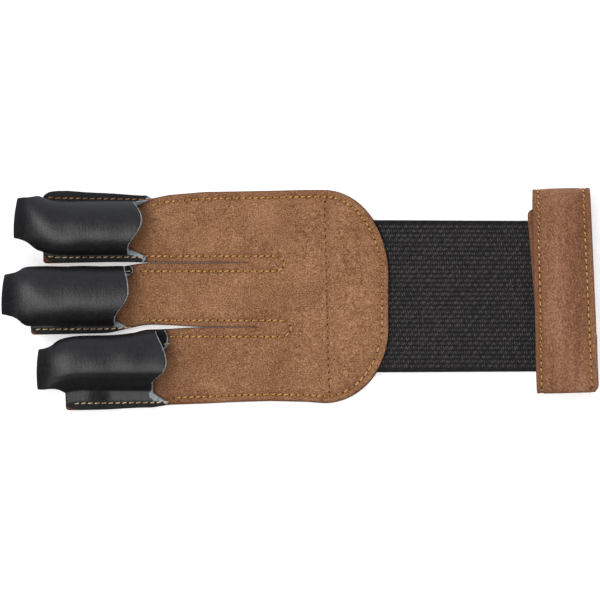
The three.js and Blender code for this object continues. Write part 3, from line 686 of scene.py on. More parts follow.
# The bent leather of a stall without its thickness: s runs from the tongue's end (-2) under the tip
# (-1 to 0) and over it to the shoulder (1) and the rear (2); q goes across from the crown
def stallSurface(index):
    finger = fingers[index]
    radius = (stall["width"] * finger["bulge"] - wall["stall"]) / 2
    fold = stall["fold"]
    sweep = stall["sweep"]
    archLength = radius * sweep
    foldEnd = archLength + fold * sweep
    base = (radius + fold) * math.sin(sweep)
    depth = (radius + fold) * (1 - math.cos(sweep))
    blankHalf = foldEnd + stripHalf(finger) - base
    length = stall["length"] * finger["length"]
    half = wall["stall"] / 2
    front = stall["tipHeight"] / 2
    tip = (stall["tipWidth"] - wall["stall"]) / 2
    flangeX = stall["tipToFlange"]
    shoulder = stall["shoulder"]

    def archAt(x):
        along = (x - half) / (flangeX - half)
        bend = tableAt(tipShape, "bend", along) * math.pi / 2
        reach = mix(tip, radius, tableAt(tipShape, "width", along))
        r = reach / math.sin(bend) if bend < math.pi / 2 else radius
        if x <= flangeX + 1e-6:
            return r, r * bend, r * bend
        runIns = (stall["flangeFront"] * fold, finger["ringFront"])
        runs = (clamp((x - flangeX) / run, 0, 1) for run in runIns)
        return (r, *(mix(foldEnd, blankHalf, math.sqrt(1 - (1 - past) ** 2)) for past in runs))

    def crown(s):
        if s < -1:
            return stall["tipDepth"] - (s + 1) * (stall["tongue"] - stall["tipDepth"]), half, math.pi
        if s > 1:
            return mix(shoulder, length, s - 1), stall["rise"] - half, 0
        run = (stall["tipDepth"] if s < 0 else shoulder) - half
        rise = front - half if s < 0 else stall["rise"] - half - front
        angle = s * math.pi / 2
        tilt = math.atan2(rise * math.cos(angle), run * math.sin(angle))
        curve = 2 if s < 0 else stall["crownCurve"]
        lift = math.copysign((1 - math.cos(angle) ** curve) ** (1 / curve), s)
        return half + run * (1 - math.cos(angle)), front + rise * lift, tilt

    def crownAt(x):
        if x > shoulder:
            return 1 + (x - shoulder) / (length - shoulder)
        return math.acos(1 - (x - half) / (shoulder - half)) / (math.pi / 2)

    def rearShift(q):
        fromCrest = q - finger["crest"] * archLength
        notch = stall["notch"] * (finger["notch"] if fromCrest > 0 else 1)
        share = clamp(abs(fromCrest) / (foldEnd * stall["notchSpan"]), 0, 1)
        tail = finger["indexTail"] if q > 0 else finger["ringTail"]
        back = smooth(abs(q), archLength * 0.98, mix(foldEnd, blankHalf, 0.3))
        rounded = stall["rearRound"] * smooth(abs(q), mix(foldEnd, blankHalf, 0.6), blankHalf)
        return mix(-notch * math.sin(math.pi / 2 * share) ** 2, tail, back) - rounded

    def pointAt(s, q):
        lineX, lineZ, lineTilt = crown(s)
        formed = 0 if s < 0 else smooth(lineX, half, flangeX)
        underStall = tipX(finger) + max(lineX, flangeX)
        floorZ = panelTop + stripLift(finger, underStall) + wall["gap"] + half
        scale = mix(stall["tipFlat"], (lineZ - floorZ) / depth, formed)
        r = archAt(half if s < 0 else lineX)[0]
        if s < 0:
            r = r / max(1 + s, 0.02)
        sign = (q > 0) - (q < 0)
        across = abs(q)
        side = r * math.sin(across / r)
        drop = scale * r * (1 - math.cos(across / r))
        if across > archLength and r == radius:
            left = sweep - min((across - archLength) / fold, sweep)
            down = (radius + fold) * math.cos(sweep) - radius - fold * math.cos(left)
            side = base - fold * math.sin(left)
            drop = -scale * down
        share = min(across / foldEnd, 1)
        if sign > 0:
            swelling = math.pi / 2 * clamp(lineX / finger["swellRun"], 0, 1)
            swell = finger["swell"] * formed * math.sin(swelling)
            swell += finger["rearSwell"] * smooth(lineX, length * 0.5, length)
            side += swell * math.sin(math.pi * share ** 1.4)
        elif finger["apron"] > 0 and across > archLength * stall["crownShare"]:
            # The leather drops steeply and then runs out in a low apron to the flange
            fromTop = archLength * stall["crownShare"] / r
            into = clamp((across / r - fromTop) / (foldEnd / r - fromTop), 0, 1)
            held = finger["apron"] * formed
            side = mix(side, mix(r * math.sin(fromTop), base, tableAt(apronShape, "side", into)), held)
            low = mix(r * (1 - math.cos(fromTop)), depth, tableAt(apronShape, "drop", into))
            drop = mix(drop, scale * low, held)
        narrow = 1 - finger["pinch"] * formed * share ** 3 if sign < 0 else 1
        side *= narrow
        lowered = formed * clamp(drop / (scale * depth), 0, 1)
        middle = stripCentre(finger) + stall["width"] * finger["lean"] * (1 - lowered)
        middle += strip["width"] * finger["tipShift"] * (1 - smooth(lineX, half, shoulder))
        if across > foldEnd:
            upper, lower = stripEdges(index, underStall, 0)
            outer = upper - middle if sign > 0 else middle - lower
            if sign > 0:
                outer += finger["flare"] * tableAt(flangeFlare, "out", lineX)
            side = mix(base * narrow, outer, (across - foldEnd) / (blankHalf - foldEnd))
        tilt = lineTilt * (1 - formed)
        rear = rearShift(q) * smooth(lineX, rampStart + stall["ramp"], length) if s > 1 else 0
        skew = finger["skew"] * sign * side * (1 - clamp(lineX / flangeX, 0, 1))
        return Vector((tipX(finger) + lineX + rear + skew + drop * math.sin(tilt),
                       middle + sign * side, lineZ - drop * math.cos(tilt)))

    def normalAt(s, q):
        step = 1e-3
        along = pointAt(s + step, q) - pointAt(s - step, q)
        return along.cross(pointAt(s, q + step) - pointAt(s, q - step)).normalized()

    sizes = {"archLength": archLength, "foldEnd": foldEnd, "blankHalf": blankHalf, "length": length}
    return pointAt, normalAt, archAt, crownAt, sizes


def fingerStall(index):
    finger = fingers[index]
    pointAt, normalAt, archAt, crownAt, sizes = stallSurface(index)
    foldEnd = sizes["foldEnd"]
    archLength = sizes["archLength"]
    length = sizes["length"]
    flangeX = stall["tipToFlange"]
    inner = steps(0, archLength, 24) + steps(archLength, foldEnd, 6)[1:]
    inner += steps(foldEnd, sizes["blankHalf"], 6)[1:]
    inner = [-q for q in reversed(inner[1:])] + inner
    rimSteps = [0, 0.2, 0.45, 0.7]
    # The tongue narrows to its end
    tipEdge = archAt(0)[1]
    rows = [(s, *[tipEdge * mix(0.6, 1, smooth(s, -2, -1.9))] * 2)
            for s in [-2, -1.985, -1.96] + steps(-1.9, -1, 8)]
    rows += [(s, tipEdge, tipEdge) for s in steps(-1, 0, 12)[1:]]
    stations = spaced(0.9, flangeX, 0.6)
    stations += [flangeX + share * stall["fold"] for share in (0.05, 0.4, 0.9, 1.4, 2)]
    stations += spaced(stations[-1], stall["shoulder"], 0.6)[1:]
    stations += spaced(stall["shoulder"], length - 0.7, 0.55)[1:]
    stations += [length - 0.45, length - 0.2, length]
    rows += [(crownAt(x), *archAt(x)[1:]) for x in stations]
    grids = ([], [])
    raws = []
    rubs = []
    for s, indexEdge, ringEdge in rows:
        held = [clamp(q, rimSteps[-1] - ringEdge, indexEdge - rimSteps[-1]) for q in inner]
        places = [step - ringEdge for step in rimSteps[:-1]] + held
        places += [indexEdge - step for step in reversed(rimSteps[:-1])]
        fromRear = (rows[-1][0] - s) * (length - stall["shoulder"]) if s > 1 else 9
        fromTongue = (s + 2) * (stall["tongue"] - stall["tipDepth"]) if s < -1 else 9
        upper = []
        lower = []
        for q in places:
            away = min(indexEdge - q, ringEdge + q, fromRear, fromTongue)
            point = pointAt(s, q)
            normal = normalAt(s, q)
            half = wall["stall"] / 2 * rimFullness(away, stall)
            # Raw leather shows along the rear edge, and further in where it is skived beside the bulge
            raw = finger["indexRaw"] if q > 0 else finger["ringRaw"]
            beside = (abs(q) - foldEnd * 0.98) / skive["spread"]
            skived = skive["edge"] + skive["wide"] * raw * math.exp(-beside ** 2)
            raws.append(1 - smooth(fromRear, skived, skived + skive["blur"]))
            # The flanges are rubbed dull, and half as much the steep side over an apron
            steep = math.sin(math.pi * clamp(-q / foldEnd, 0, 1)) ** 2 * stall["sideWear"]
            rubs.append(max(smooth(abs(q), foldEnd * 0.97, foldEnd + 0.8), finger["apron"] * steep))
            # The crown has shallow dents from use; the flanges and the fold beside them are pressed flat
            reach = archLength * (1 - stall["smoothSide"] * finger["apron"] * (q < 0))
            free = smooth(s, -0.2, 0.5) * (1 - smooth(abs(q), reach * 0.72, reach * 0.98))
            waves = noise.noise(point / stall["dentSize"] + Vector((0, 0, index * 5)))
            dent = stall["dent"] * free * (waves - 0.5)
            upper.append(point + normal * (half + dent))
            lower.append(point - normal * (half - dent))
        grids[0].append(upper)
        grids[1].append(lower)
    points, faces = sheetFaces(grids[0], grids[1], 0, 1, 2)
    marks = {"raw": raws + [0] * len(raws), "rubbed": rubs * 2}
    piece = makePiece(finger["name"] + "_leather", points, faces, [stallLeather, fleshSide, cutEdge], marks)

    # The rows that hold the stall run on its flanges, just outside the bulge
    place = mix(foldEnd, sizes["blankHalf"], stall["rowShare"])
    sunk = wall["stall"] / 2 - stall["threadSink"]
    rowsOfStall = []
    for sign in (1, -1):
        line = []
        for x in spaced(flangeX + 2 * stall["fold"] + 0.3, length - 0.8, 0.8):
            s = crownAt(x)
            normal = normalAt(s, sign * place)
            line.append((pointAt(s, sign * place) + normal * sunk, normal))
        rowsOfStall.append(line)
    return piece, rowsOfStall


stallPieces = []
flangeRows = []
for index in range(3):
    piece, rowsOfStall = fingerStall(index)
    stallPieces.append(piece)
    flangeRows += rowsOfStall
print("finger stalls made", [len(piece.data.polygons) for piece in stallPieces])


# Height of the elastic's underside at one place along it
def bandBottom(x):
    swing = clamp((x - wall["gap"]) / (band["span"] - band["heldEnd"]), 0, 1)
    return innerLevel - band["sag"] * math.sin(math.pi * swing) ** 2


def bandHalf(x):
    return band["width"] / 2 * (1 - band["narrowing"] * clamp(x / band["span"], 0, 1))


# Half the elastic's thickness this far in from its edge. Between the selvages the core is a little
# thinner, so that the yarns on it stay inside the band
def bandFullness(away):
    full = mix(band["rimFlat"], 1, math.sqrt(clamp(away / band["rimRound"], 0, 1)))
    return wall["elastic"] / 2 * full - band["yarnRoom"] * smooth(away, *band["selvage"])


def elasticBand():
    stations = spaced(-band["lap"] + wall["gap"], band["span"] + band["tuck"], 0.9)
    shares = [-1, -0.992, -0.98, -0.965] + steps(-0.93, 0.93, 40) + [0.965, 0.98, 0.992, 1]
    upper = []
    lower = []
    for x in stations:
        middle = bandBottom(x) + wall["elastic"] / 2
        places = [(bandHalf(x) * share, bandFullness(bandHalf(x) * (1 - abs(share)))) for share in shares]
        upper.append([Vector((x, y, middle + half)) for y, half in places])
        lower.append([Vector((x, y, middle - half)) for y, half in places])
    points, faces = sheetFaces(upper, lower, 0, 0, 0)
    return makePiece("elastic_webbing", points, faces, [webbingCore])


webbing = elasticBand()

# Wrist strap: one strip of suede from its inner end round under the band and back over to its outer end
strap = {"length": 68.1, "width": 20.0, "shift": 1.8, "turn": math.radians(1.5), "opening": 5.4,
         "endShort": 6.3, "corner": 2.6, "rimRound": 0.6, "rimFlat": 0.5, "rimStain": 0.5, "leftRow": 1.8,
         "rightRow": 2.3, "rowDepth": 0.3, "rowWidth": 0.55, "rowStain": 0.8, "pillow": 0.3,
         "pillowRun": 2.2, "pillowFrom": 0.62, "rippleSize": 12, "sewnShare": 0.68, "threadSink": 0.12,
         "endRow": 1.3, "endRowShort": 0.6, "endRowSink": 0.05}
strapShape = [
    {"along": 0.0, "shift": -0.1, "width": 0.97}, {"along": 0.17, "shift": 0.0, "width": 0.98},
    {"along": 0.5, "shift": -0.01, "width": 0.99}, {"along": 0.64, "shift": -0.01, "width": 0.95},
    {"along": 1.0, "shift": 0.01, "width": 1.04}]
tape = {"width": 19.0, "loopLength": 31.0, "hookLength": 14.6, "inset": 4.4, "hookShift": 0.95,
        "rimRound": 0.4, "rimFlat": 0.35}
insideTop = innerLevel + wall["elastic"] + strap["opening"]
innerEnd = insideTop + wall["suede"] / 2
loopLevel = insideTop + wall["suede"] + wall["gap"] + wall["tape"] / 2
hookLevel = loopLevel + wall["tape"] + wall["gap"]
outerEnd = hookLevel + wall["tape"] / 2 + wall["gap"] + wall["suede"] / 2
wristPlace = Matrix.Translation((band["span"] + strap["width"] / 2, strap["shift"], 0))
wristPlace = wristPlace @ Matrix.Rotation(strap["turn"], 4, "Z")


# Middle line of the strap across the glove as (y, z, turn), from the inner end to the outer end
def strapPath():
    low = wall["suede"] / 2
    top = strap["length"] / 2
    path = []

    def run(first, last, z, turn):
        path.extend((y, z, turn) for y in spaced(first, last, 0.7))

    def fold(y, first, last, side):
        radius = abs(last - first) / 2
        for angle in steps(0, math.pi, 22)[1:-1]:
            z = (first + last) / 2 + (first - last) / 2 * math.cos(angle)
            path.append((y + side * radius * math.sin(angle), z, (0 if first > last else math.pi) + angle))

    ringFold = -top + innerEnd / 2 + low / 2
    indexFold = top - outerEnd / 2 - low / 2
    run(top - strap["endShort"], top - strap["endShort"] - strap["corner"], innerEnd, 0)
    run(top - strap["endShort"] - strap["corner"] - 0.5, ringFold, innerEnd, 0)
    fold(ringFold, innerEnd, low, -1)
    run(ringFold, indexFold, low, math.pi)
    fold(indexFold, low, outerEnd, 1)
    run(indexFold, -top + strap["corner"] + 0.4, outerEnd, 2 * math.pi)
    run(-top + strap["corner"], -top, outerEnd, 2 * math.pi)
    return path


def strapLengths(path):
    lengths = [0]
    for before, after in zip(path, path[1:]):
        lengths.append(lengths[-1] + math.hypot(after[0] - before[0], after[1] - before[1]))
    return lengths


def strapEdges(lengths, i):
    along = lengths[i] / lengths[-1]
    corner = strap["corner"]
    toEnd = min(lengths[i], lengths[-1] - lengths[i], corner) / corner
    cut = corner * (1 - math.sqrt(max(0, 1 - (1 - toEnd) ** 2)))
    half = strap["width"] * tableAt(strapShape, "width", along) / 2
    return strap["width"] * tableAt(strapShape, "shift", along), half, cut


def wristStrap():
    path = strapPath()
    lengths = strapLengths(path)
    rim = [0, 0.15, 0.35, 0.6, 0.9]
    uppers = []
    lowers = []
    rims = []
    sewn = []
    rowLines = ([], [])
    for i, (y, z, turn) in enumerate(path):
        middle, fullHalf, cut = strapEdges(lengths, i)
        half = fullHalf - cut
        places = [step - half for step in rim] + steps(1.3 - half, half - 1.3, 30)
        places += [half - step for step in reversed(rim)]
        out = Vector((0, -math.sin(turn), math.cos(turn)))
        toEnd = min(lengths[i], lengths[-1] - lengths[i])
        upper = []
        lower = []
        for x in places:
            thick = wall["suede"] / 2 * rimFullness(min(half - abs(x), toEnd), strap)
            fromRow = min(abs(x + fullHalf - strap["leftRow"]), abs(fullHalf - strap["rightRow"] - x))
            groove = strap["rowDepth"] * math.exp(-(fromRow / strap["rowWidth"]) ** 2)
            lifted = lengths[i] > lengths[-1] * strap["pillowFrom"]
            puff = lifted * strap["pillow"] * (1 - math.exp(-(fromRow / strap["pillowRun"]) ** 2))
            puff *= 0.6 + 0.8 * noise.noise(Vector((x, lengths[i], 3)) / strap["rippleSize"])
            rims.append(math.exp(-min(half - abs(x), toEnd) / strap["rimStain"]))
            sewn.append(math.exp(-(fromRow / strap["rowStain"]) ** 2))
            upper.append(Vector((middle + x, y, z)) + out * (thick - groove + puff))
            lower.append(Vector((middle + x, y, z)) - out * thick)
        uppers.append([wristPlace @ point for point in upper])
        lowers.append([wristPlace @ point for point in lower])
        if strap["corner"] * 0.7 < lengths[-1] - lengths[i] < lengths[-1] * strap["sewnShare"]:
            for line, x in zip(rowLines, (strap["leftRow"] - fullHalf, fullHalf - strap["rightRow"])):
                sunk = out * (wall["suede"] / 2 - strap["threadSink"])
                place = wristPlace @ (Vector((middle + x, y, z)) + sunk)
                line.append((place, wristPlace.to_3x3() @ out))
    points, faces = sheetFaces(uppers, lowers, 0, 0, 0)
    marks = {"rim": rims * 2, "row": sewn * 2}
    piece = makePiece("wrist_strap_suede", points, faces, [strapSuede], marks)
    # A short row across the outer end holds the tape beneath it
    endY = strap["endRow"] - strap["length"] / 2
    middle, fullHalf, _ = strapEdges(lengths, len(path) - 8)
    place = outerEnd + wall["suede"] / 2 - strap["endRowSink"]
    first = strap["leftRow"] - fullHalf + strap["endRowShort"]
    last = fullHalf - strap["rightRow"] - strap["endRowShort"]
    endRow = [(wristPlace @ Vector((middle + x, endY, place)), Vector((0, 0, 1)))
              for x in steps(first, last, 24)]
    return piece, list(rowLines), endRow


strapPiece, strapRows, strapEndRow = wristStrap()


def closureTape(name, length, level, sideways, finish):
    halfWidth = tape["width"] / 2
    first = -strap["length"] / 2 + tape["inset"]
    rim = [0, 0.12, 0.3, 0.5]
    places = [step - halfWidth for step in rim] + steps(0.9 - halfWidth, halfWidth - 0.9, 24)
    places += [halfWidth - step for step in reversed(rim)]
    stations = [first + step for step in rim] + spaced(first + 0.9, first + length - 0.9, 0.8)
    stations += [first + length - step for step in reversed(rim)]
    grids = ([], [])
    for y in stations:
        for grid, side in zip(grids, (1, -1)):
            line = []
            for x in places:
                away = min(halfWidth - abs(x), y - first, first + length - y)
                full = math.sqrt(clamp(away / tape["rimRound"], 0, 1))
                half = wall["tape"] / 2 * mix(tape["rimFlat"], 1, full)
                line.append(wristPlace @ Vector((x + sideways, y, level + side * half)))
            grid.append(line)
    points, faces = sheetFaces([row[::-1] for row in grids[0]], [row[::-1] for row in grids[1]], 0, 0, 0)
    return makePiece(name, points, faces, [finish])


loopPiece = closureTape("tape_loop_pile", tape["loopLength"], loopLevel, 0, pileTape)
hookPiece = closureTape("tape_hooks", tape["hookLength"], hookLevel, tape["hookShift"], hookTape)
print("wrist strap made", len(strapPiece.data.polygons))


# A Geometry Nodes group with named inputs, and a function that sets them on an object's modifier
def newTree(name, inputs):
    tree = bpy.data.node_groups.new(name, "GeometryNodeTree")
    tree.interface.new_socket(name="Geometry", in_out="INPUT", socket_type="NodeSocketGeometry")
    for label, kind in inputs.items():
        tree.interface.new_socket(name=label, in_out="INPUT", socket_type="NodeSocket" + kind)
    tree.interface.new_socket(name="Geometry", in_out="OUTPUT", socket_type="NodeSocketGeometry")
    return tree, addNode(tree, "NodeGroupInput").outputs


def bakeTree(piece, tree, values):
    modifier = piece.modifiers.new(tree.name, "NODES")
    modifier.node_group = tree
    for socket in tree.interface.items_tree:
        if socket.in_out == "INPUT" and socket.name in values:
            modifier[socket.identifier] = values[socket.name]
    graph = bpy.context.evaluated_depsgraph_get()
    baked = bpy.data.meshes.new_from_object(piece.evaluated_get(graph))
    piece.modifiers.remove(modifier)
    old = piece.data
    piece.data = baked
    baked.name = piece.name
    bpy.data.meshes.remove(old)
    return piece


# The turn that lays a thing along its row, with its top outwards
def addFacing(tree):
    tangent = addNode(tree, "GeometryNodeInputTangent")
    outward = addNode(tree, "GeometryNodeInputNamedAttribute", {"Name": "rowNormal"},
                      data_type="FLOAT_VECTOR")
    return addNode(tree, "FunctionNodeAxesToRotation", {0: tangent.outputs[0], 1: outward.outputs[0]},
                   primary_axis="X", secondary_axis="Z").outputs[0]


# A little bent bar of thread from a start to an end that both dip under the surface
def addThreadBar(tree, length, radius, dip, rise, look):
    halfLength = addNode(tree, "ShaderNodeMath", {0: length, 1: 0.5}, operation="MULTIPLY").outputs[0]
    back = addNode(tree, "ShaderNodeMath", {0: length, 1: -0.5}, operation="MULTIPLY").outputs[0]
    start = addNode(tree, "ShaderNodeCombineXYZ", {0: back, 2: dip})
    middle = addNode(tree, "ShaderNodeCombineXYZ", {2: rise})
    end = addNode(tree, "ShaderNodeCombineXYZ", {0: halfLength, 2: dip})
    curve = addNode(tree, "GeometryNodeCurveQuadraticBezier", {
        "Resolution": look["steps"], "Start": start.outputs[0], "Middle": middle.outputs[0],
        "End": end.outputs[0]})
    ring = addNode(tree, "GeometryNodeCurvePrimitiveCircle", {"Resolution": look["sides"], "Radius": radius})
    return addNode(tree, "GeometryNodeCurveToMesh", {
        "Curve": curve.outputs[0], "Profile Curve": ring.outputs["Curve"], "Fill Caps": True}).outputs[0]


# Stitches along a row, with a needle hole between one and the next: a flat dark disc, painted shade for the
# hollow of the hole. Dip and rise are in thread radii
stitchShape = {"dip": -1.3, "rise": 2.0, "sides": 7, "steps": 6, "wander": 0.06, "holeDepth": 0.16}


def stitchTree():
    tree, given = newTree("row_of_stitches", {
        "Pitch": "Float", "Length": "Float", "Radius": "Float", "Hole": "Float", "Slant": "Float",
        "Seed": "Int", "Thread": "Material", "Shade": "Material"})
    curve = addNode(tree, "GeometryNodeMeshToCurve", {"Mesh": given["Geometry"]})
    halfPitch = addNode(tree, "ShaderNodeMath", {0: given["Pitch"], 1: 0.5}, operation="MULTIPLY")
    row = addNode(tree, "GeometryNodeResampleCurve", {
        "Curve": curve.outputs[0], "Length": halfPitch.outputs[0]}, mode="LENGTH")
    number = addNode(tree, "GeometryNodeInputIndex")
    odd = addNode(tree, "ShaderNodeMath", {0: number.outputs[0], 1: 2.0}, operation="MODULO")
    even = addNode(tree, "ShaderNodeMath", {0: 1.0, 1: odd.outputs[0]}, operation="SUBTRACT")
    facing = addFacing(tree)
    wander = addNode(tree, "FunctionNodeRandomValue", {
        2: -stitchShape["wander"], 3: stitchShape["wander"], "Seed": given["Seed"]}, data_type="FLOAT")
    slant = addNode(tree, "ShaderNodeMath", {0: given["Slant"], 1: wander.outputs[1]}, operation="ADD")
    turn = addNode(tree, "ShaderNodeCombineXYZ", {2: slant.outputs[0]})
    turned = addNode(tree, "FunctionNodeRotateRotation", {0: facing, 1: turn.outputs[0]},
                     rotation_space="LOCAL").outputs[0]
    radius = given["Radius"]
    dip = addNode(tree, "ShaderNodeMath", {0: radius, 1: stitchShape["dip"]}, operation="MULTIPLY")
    rise = addNode(tree, "ShaderNodeMath", {0: radius, 1: stitchShape["rise"]}, operation="MULTIPLY")
    bar = addThreadBar(tree, given["Length"], radius, dip.outputs[0], rise.outputs[0], stitchShape)
    bar = addNode(tree, "GeometryNodeSetMaterial", {"Geometry": bar, "Material": given["Thread"]}).outputs[0]
    hole = addNode(tree, "GeometryNodeMeshCylinder", {
        "Vertices": 8, "Radius": given["Hole"], "Depth": stitchShape["holeDepth"] * mm},
        fill_type="NGON").outputs[0]
    hole = addNode(tree, "GeometryNodeSetMaterial", {
        "Geometry": hole, "Material": given["Shade"]}).outputs[0]
    sewn = addNode(tree, "GeometryNodeInstanceOnPoints", {
        "Points": row.outputs[0], "Selection": even.outputs[0], "Instance": bar, "Rotation": turned})
    pierced = addNode(tree, "GeometryNodeInstanceOnPoints", {
        "Points": row.outputs[0], "Selection": odd.outputs[0], "Instance": hole, "Rotation": facing})
    both = addNode(tree, "GeometryNodeJoinGeometry")
    tree.links.new(pierced.outputs[0], both.inputs[0])
    tree.links.new(sewn.outputs[0], both.inputs[0])
    real = addNode(tree, "GeometryNodeRealizeInstances", {"Geometry": both.outputs[0]})
    rounded = addNode(tree, "GeometryNodeSetShadeSmooth", {"Geometry": real.outputs[0]})
    addNode(tree, "NodeGroupOutput", {"Geometry": rounded.outputs[0]})
    return tree


sewing = stitchTree()
seam = {"Pitch": 2.25 * mm, "Length": 1.98 * mm, "Radius": 0.28 * mm, "Hole": 0.28 * mm,
        "Slant": math.radians(7), "Seed": 4, "Thread": goldThread, "Shade": needleHoleShade}


# A line object with an outward direction at each place; a row is a list of (place, outward direction)
def lineObject(name, rows):
    mesh = bpy.data.meshes.new(name)
    places = []
    edges = []
    normals = []
    for row in rows:
        first = len(places)
        places += [(place + layoutShift) * mm for place, _ in row]
        normals += [normal for _, normal in row]
        edges += [(first + i, first + i + 1) for i in range(len(row) - 1)]
    mesh.from_pydata(places, edges, [])
    layer = mesh.attributes.new("rowNormal", "FLOAT_VECTOR", "POINT")
    layer.data.foreach_set("vector", [value for normal in normals for value in normal])
    piece = bpy.data.objects.new(name, mesh)
    scene.collection.objects.link(piece)
    return piece


def sewRows(name, rows, values):
    return bakeTree(lineObject(name, rows), sewing, values)


up = Vector((0, 0, 1))
palmRows = [[(Vector((x, y, palmHeight(x, y, fingerAt(x, y)) - palmSewing["sink"])), up) for x, y in row]
            for row in panelRows.values()]
crossRow = list(panelRows).index("cross")
palmStitches = sewRows("stitches_palm", palmRows[:crossRow] + palmRows[crossRow + 1:], seam)
# The row across by the elastic is of thin thread close to the nap, and little more than its holes shows
nearNap = [(place + up * palmSewing["crossRise"], normal) for place, normal in palmRows[crossRow]]
crossStitches = sewRows("stitches_cross", [nearNap], dict(
    seam, Radius=0.13 * mm, Hole=0.36 * mm, Thread=brownThread, Seed=6))
stallSeam = dict(seam, Radius=0.23 * mm, Thread=paleThread, Shade=blackHoleShade, Seed=9)
stallStitches = sewRows("stitches_stalls", flangeRows[1:], stallSeam)
outerStitches = sewRows("stitches_index_outer", flangeRows[:1], dict(
    stallSeam, Thread=brownThread, Seed=12))
strapStitches = sewRows("stitches_strap", strapRows, dict(seam, Seed=14, Slant=math.radians(10)))
endStitches = sewRows("stitches_strap_end", [strapEndRow], dict(
    seam, Radius=0.17 * mm, Hole=0.2 * mm, Thread=dullThread, Seed=21))
print("stitches made", len(palmStitches.data.polygons))


# Yarns on the elastic: courses along it of short slanted floats. Dip and rise are in widths of a float,
# and each float has a length and a slant of its own
floatShape = {"dip": -0.7, "rise": 0.9, "sides": 5, "steps": 3, "shortest": 0.65, "longest": 1.3,
              "slants": (-1.35, -0.8)}


def webbingTree():
    tree, given = newTree("webbing_yarns", {
        "Courses": "Int", "Course pitch": "Float", "Float pitch": "Float", "Float length": "Float",
        "Float width": "Float", "Yarn": "Material"})
    curve = addNode(tree, "GeometryNodeMeshToCurve", {"Mesh": given["Geometry"]})
    row = addNode(tree, "GeometryNodeResampleCurve", {
        "Curve": curve.outputs[0], "Length": given["Float pitch"]}, mode="LENGTH")
    course = addNode(tree, "GeometryNodeStoreNamedAttribute", {
        "Geometry": row.outputs[0], "Name": "facing", "Value": addFacing(tree)}, data_type="QUATERNION")
    step = addNode(tree, "ShaderNodeCombineXYZ", {1: given["Course pitch"]})
    lines = addNode(tree, "GeometryNodeMeshLine", {"Count": given["Courses"], "Offset": step.outputs[0]})
    stagger = addNode(tree, "FunctionNodeRandomValue", {2: 0.0, 3: given["Float pitch"], "Seed": 11},
                      data_type="FLOAT")
    offset = addNode(tree, "ShaderNodeCombineXYZ", {0: stagger.outputs[1]})
    shifted = addNode(tree, "GeometryNodeSetPosition", {
        "Geometry": lines.outputs[0], "Offset": offset.outputs[0]})
    courses = addNode(tree, "GeometryNodeInstanceOnPoints", {
        "Points": shifted.outputs[0], "Instance": course.outputs[0]})
    places = addNode(tree, "GeometryNodeRealizeInstances", {"Geometry": courses.outputs[0]})
    length = addNode(tree, "FunctionNodeRandomValue", {
        2: floatShape["shortest"], 3: floatShape["longest"], "Seed": 3}, data_type="FLOAT")
    slant = addNode(tree, "FunctionNodeRandomValue", {
        2: floatShape["slants"][0], 3: floatShape["slants"][1], "Seed": 5}, data_type="FLOAT")
    turn = addNode(tree, "ShaderNodeCombineXYZ", {2: slant.outputs[1]})
    stored = addNode(tree, "GeometryNodeInputNamedAttribute", {"Name": "facing"}, data_type="QUATERNION")
    turned = addNode(tree, "FunctionNodeRotateRotation", {0: stored.outputs[0], 1: turn.outputs[0]},
                     rotation_space="LOCAL")
    width = given["Float width"]
    dip = addNode(tree, "ShaderNodeMath", {0: width, 1: floatShape["dip"]}, operation="MULTIPLY")
    rise = addNode(tree, "ShaderNodeMath", {0: width, 1: floatShape["rise"]}, operation="MULTIPLY")
    radius = addNode(tree, "ShaderNodeMath", {0: width, 1: 0.5}, operation="MULTIPLY")
    bar = addThreadBar(tree, given["Float length"], radius.outputs[0], dip.outputs[0], rise.outputs[0],
                       floatShape)
    floats = addNode(tree, "GeometryNodeInstanceOnPoints", {
        "Points": places.outputs[0], "Instance": bar, "Rotation": turned.outputs[0],
        "Scale": length.outputs[1]})
    real = addNode(tree, "GeometryNodeRealizeInstances", {"Geometry": floats.outputs[0]})
    rounded = addNode(tree, "GeometryNodeSetShadeSmooth", {"Geometry": real.outputs[0]})
    painted = addNode(tree, "GeometryNodeSetMaterial", {
        "Geometry": rounded.outputs[0], "Material": given["Yarn"]})
    addNode(tree, "NodeGroupOutput", {"Geometry": painted.outputs[0]})
    return tree


# The real yarns are about 0.35 mm wide; the floats and courses are drawn at the size they show
yarns = {"Courses": 32, "Course pitch": 1.5 * mm, "Float pitch": 0.76 * mm, "Float length": 1.5 * mm,
         "Float width": 0.38 * mm, "Yarn": webbingYarn}


def webbingYarns():
    firstY = -(yarns["Courses"] - 1) * yarns["Course pitch"] / mm / 2
    stations = spaced(band["yarnStart"], band["span"], 0.9)
    route = [Vector((x, firstY, bandBottom(x) + wall["elastic"] - band["yarnSink"])) for x in stations]
    line = lineObject("elastic_webbing_yarns", [[(place, up) for place in route]])
    return bakeTree(line, webbingTree(), yarns)


webbingTop = webbingYarns()
print("elastic made", len(webbingTop.data.polygons))

for piece, node, slot in (
        (outerPanel, "panel_outer", "suede_outer"), (innerPanel, "panel_inner", "suede_inner"),
        (stallPieces[0], "index_stall", "stall_leather"), (stallPieces[1], "middle_stall", "stall_leather"),
        (stallPieces[2], "ring_stall", "stall_leather"), (webbing, "elastic_band", "elastic"),
        (strapPiece, "wrist_strap", "suede_strap"), (loopPiece, "loop_tape", "tape"),
        (hookPiece, "hook_tape", "tape")):
    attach(piece, "root")
    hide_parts(node)
for piece in (palmStitches, crossStitches, stallStitches, outerStitches, strapStitches, endStitches):
    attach(piece, "root")
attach(webbingTop, "root")

